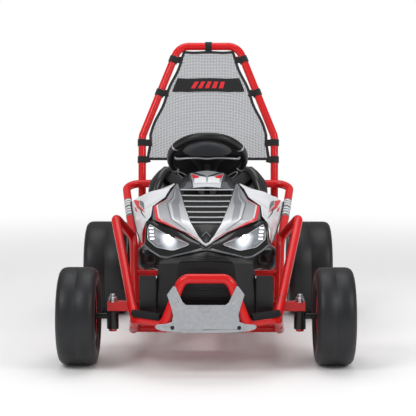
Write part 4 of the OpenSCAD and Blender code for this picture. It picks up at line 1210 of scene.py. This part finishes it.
# Patch on the net: black cloth with five plain slanting bars
PATCH_ROWS = (0.244, 0.371)
s = np.linspace(*PATCH_ROWS, 14)[:, None]
t = np.linspace(-1, 1, 60)[None, :] * 0.89
cloth = net_point(s + 0 * t, t + 0 * s) - [0, 3.0, 0]
piece("net_patch", [shell(cloth, 1.2)], WEBBING)
bars = []
for c in (0.27, 0.37, 0.47, 0.57, 0.67):
    first = [(0.25, c + 0.022), (0.75, c - 0.022)]
    second = [(0.25, c + 0.082), (0.75, c + 0.038)]
    bars.append(film(cloth, first, second, 0.2, 0.4))
piece("patch_bars", bars, FILM_RED)

# Printed sleeves on the side rails with plain pale bands
rail_low, rail_high = np.array([214.0, 290, 285]), np.array([265.0, 696, 432])
run = (rail_high - rail_low) / np.linalg.norm(rail_high - rail_low)
PRINTS = (  # name, spans along the rail as shares of it, lift, finish
    ("rail_sleeves", [(0.42, 0.69)], 0.25, FILM_GREY),
    ("rail_bands", [(a, a + 0.022) for a in (0.45, 0.49, 0.53, 0.585, 0.62, 0.655)], 0.6, FILM_PALE),
)
for name, spans, lift, finish in PRINTS:
    sleeves = []
    for low, high in spans:
        half = np.linalg.norm(rail_high - rail_low) * (high - low) / 2
        profile = [(-half, 12.6), (-half, 12.6 + lift), (half, 12.6 + lift), (half, 12.6)]
        place = kart(rail_low + (rail_high - rail_low) * (low + high) / 2)
        sleeves.append(turned(profile, place, run, 40, closed=True))
    piece(name, both(*sleeves), finish)

# Castle nut over each kingpin and a washer under its knuckle: height, then rows of (height above it, radius)
KINGPIN_X = 255.0
NUTS = (
    (173.5, [(-1, 0.01), (-1, 14.6), (2.0, 14.6), (2.2, 12.2), (11.0, 12.0), (12.0, 10.6), (12.1, 7.6),
             (19.4, 7.4), (20.4, 6), (20.6, 0.01)]),
    (91.5, [(-1, 0.01), (-1, 6.2), (3, 10.2), (6.4, 11.3), (6.4, 0.01)]),
)
nuts = [turned(rows, kart([KINGPIN_X, 0, height]), (0, 0, 1), 36) for height, rows in NUTS]
piece("kingpin_nuts", both(*nuts), ZINC, sharp=30)


# Room, lamps and camera

LAMPS = (  # name, place in metres, side in metres, watts
    ("key", (-1.8, -2.2, 2.6), 1.2, 38.0),
    ("fill", (2.2, -1.8, 1.9), 1.2, 26.0),
    ("top", (0.0, 0.4, 3.0), 2.2, 30.0),
)


def studio():
    """Pale floor that keeps the kart's shadow and fades into the white surroundings, and soft lamps that
    leave a colour about as it is written."""
    scene = bpy.context.scene
    scene.view_settings.view_transform = "Standard"
    world = bpy.data.worlds.new("studio")
    world.use_nodes = True
    scene.world = world
    tree = world.node_tree
    tree.nodes.clear()
    path = node(tree, "LightPath")
    seen = node(tree, "Math", {0: path.outputs["Is Camera Ray"], 1: path.outputs["Is Transmission Ray"]},
                operation="MAXIMUM")
    lit = node(tree, "MapRange", {0: path.outputs["Is Glossy Ray"], 3: 0.60, 4: 0.30})
    strength = node(tree, "Mix", {0: seen.outputs[0], 2: lit.outputs[0], 3: 1.0})
    light = node(tree, "Background", {"Color": (1, 1, 1, 1), "Strength": strength.outputs[0]})
    node(tree, "OutputWorld", {"Surface": light.outputs[0]})

    side = 30.0
    corners = [(-side, -side, 0), (side, -side, 0), (side, side, 0), (-side, side, 0)]
    floor_mesh = bpy.data.meshes.new("floor")
    floor_mesh.from_pydata(corners, [], [(0, 1, 2, 3)])
    floor = bpy.data.objects.new("floor", floor_mesh)
    scene.collection.objects.link(floor)
    made = bpy.data.materials.new("pale_floor")
    made.use_nodes = True
    tree = made.node_tree
    shader = tree.nodes["Principled BSDF"]
    shader.inputs["Base Color"].default_value = colour("#f6f6f6")
    shader.inputs["Roughness"].default_value = 0.6
    place = node(tree, "TexCoord").outputs["Object"]
    far = node(tree, "VectorMath", {0: place}, operation="LENGTH")
    fade = node(tree, "MapRange", {0: far.outputs["Value"], 1: 1.2, 2: 3.5}, interpolation_type="SMOOTHSTEP")
    bright = node(tree, "Emission", {"Color": (1, 1, 1, 1), "Strength": 1.0})
    mix = node(tree, "MixShader", {0: fade.outputs[0], 1: shader.outputs[0], 2: bright.outputs[0]})
    tree.links.new(mix.outputs[0], tree.nodes["Material Output"].inputs["Surface"])
    floor_mesh.materials.append(made)
    floor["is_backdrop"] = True

    for name, place, size, power in LAMPS:
        lamp = bpy.data.lights.new(name, "AREA")
        lamp.shape, lamp.size, lamp.energy = "SQUARE", size, power
        made = bpy.data.objects.new(name, lamp)
        scene.collection.objects.link(made)
        made.location = place
        aim = np.array([0.0, 0.0, 0.35]) - place
        made.rotation_euler = (math.atan2(math.hypot(aim[0], aim[1]), -aim[2]), 0,
                               math.atan2(aim[0], -aim[1]) + math.pi)


def camera():
    """Long lens in front of the kart, a little above its top and tilted down: fitted to the wheels, the hoop
    and the floor line."""
    lens = bpy.data.cameras.new("camera")
    lens.sensor_width, lens.lens = 36.0, 36.0 * FOCAL_PIXELS / PICTURE_PIXELS
    made = bpy.data.objects.new("camera", lens)
    bpy.context.scene.collection.objects.link(made)
    made.location = (CAMERA_ASIDE, FRONT_AXLE * MM - CAMERA_AWAY, CAMERA_UP)
    made.rotation_euler = (math.radians(90 - CAMERA_TILT), 0.0, math.radians(CAMERA_TURN))
    bpy.context.scene.camera = made


studio()
camera()
low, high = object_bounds()
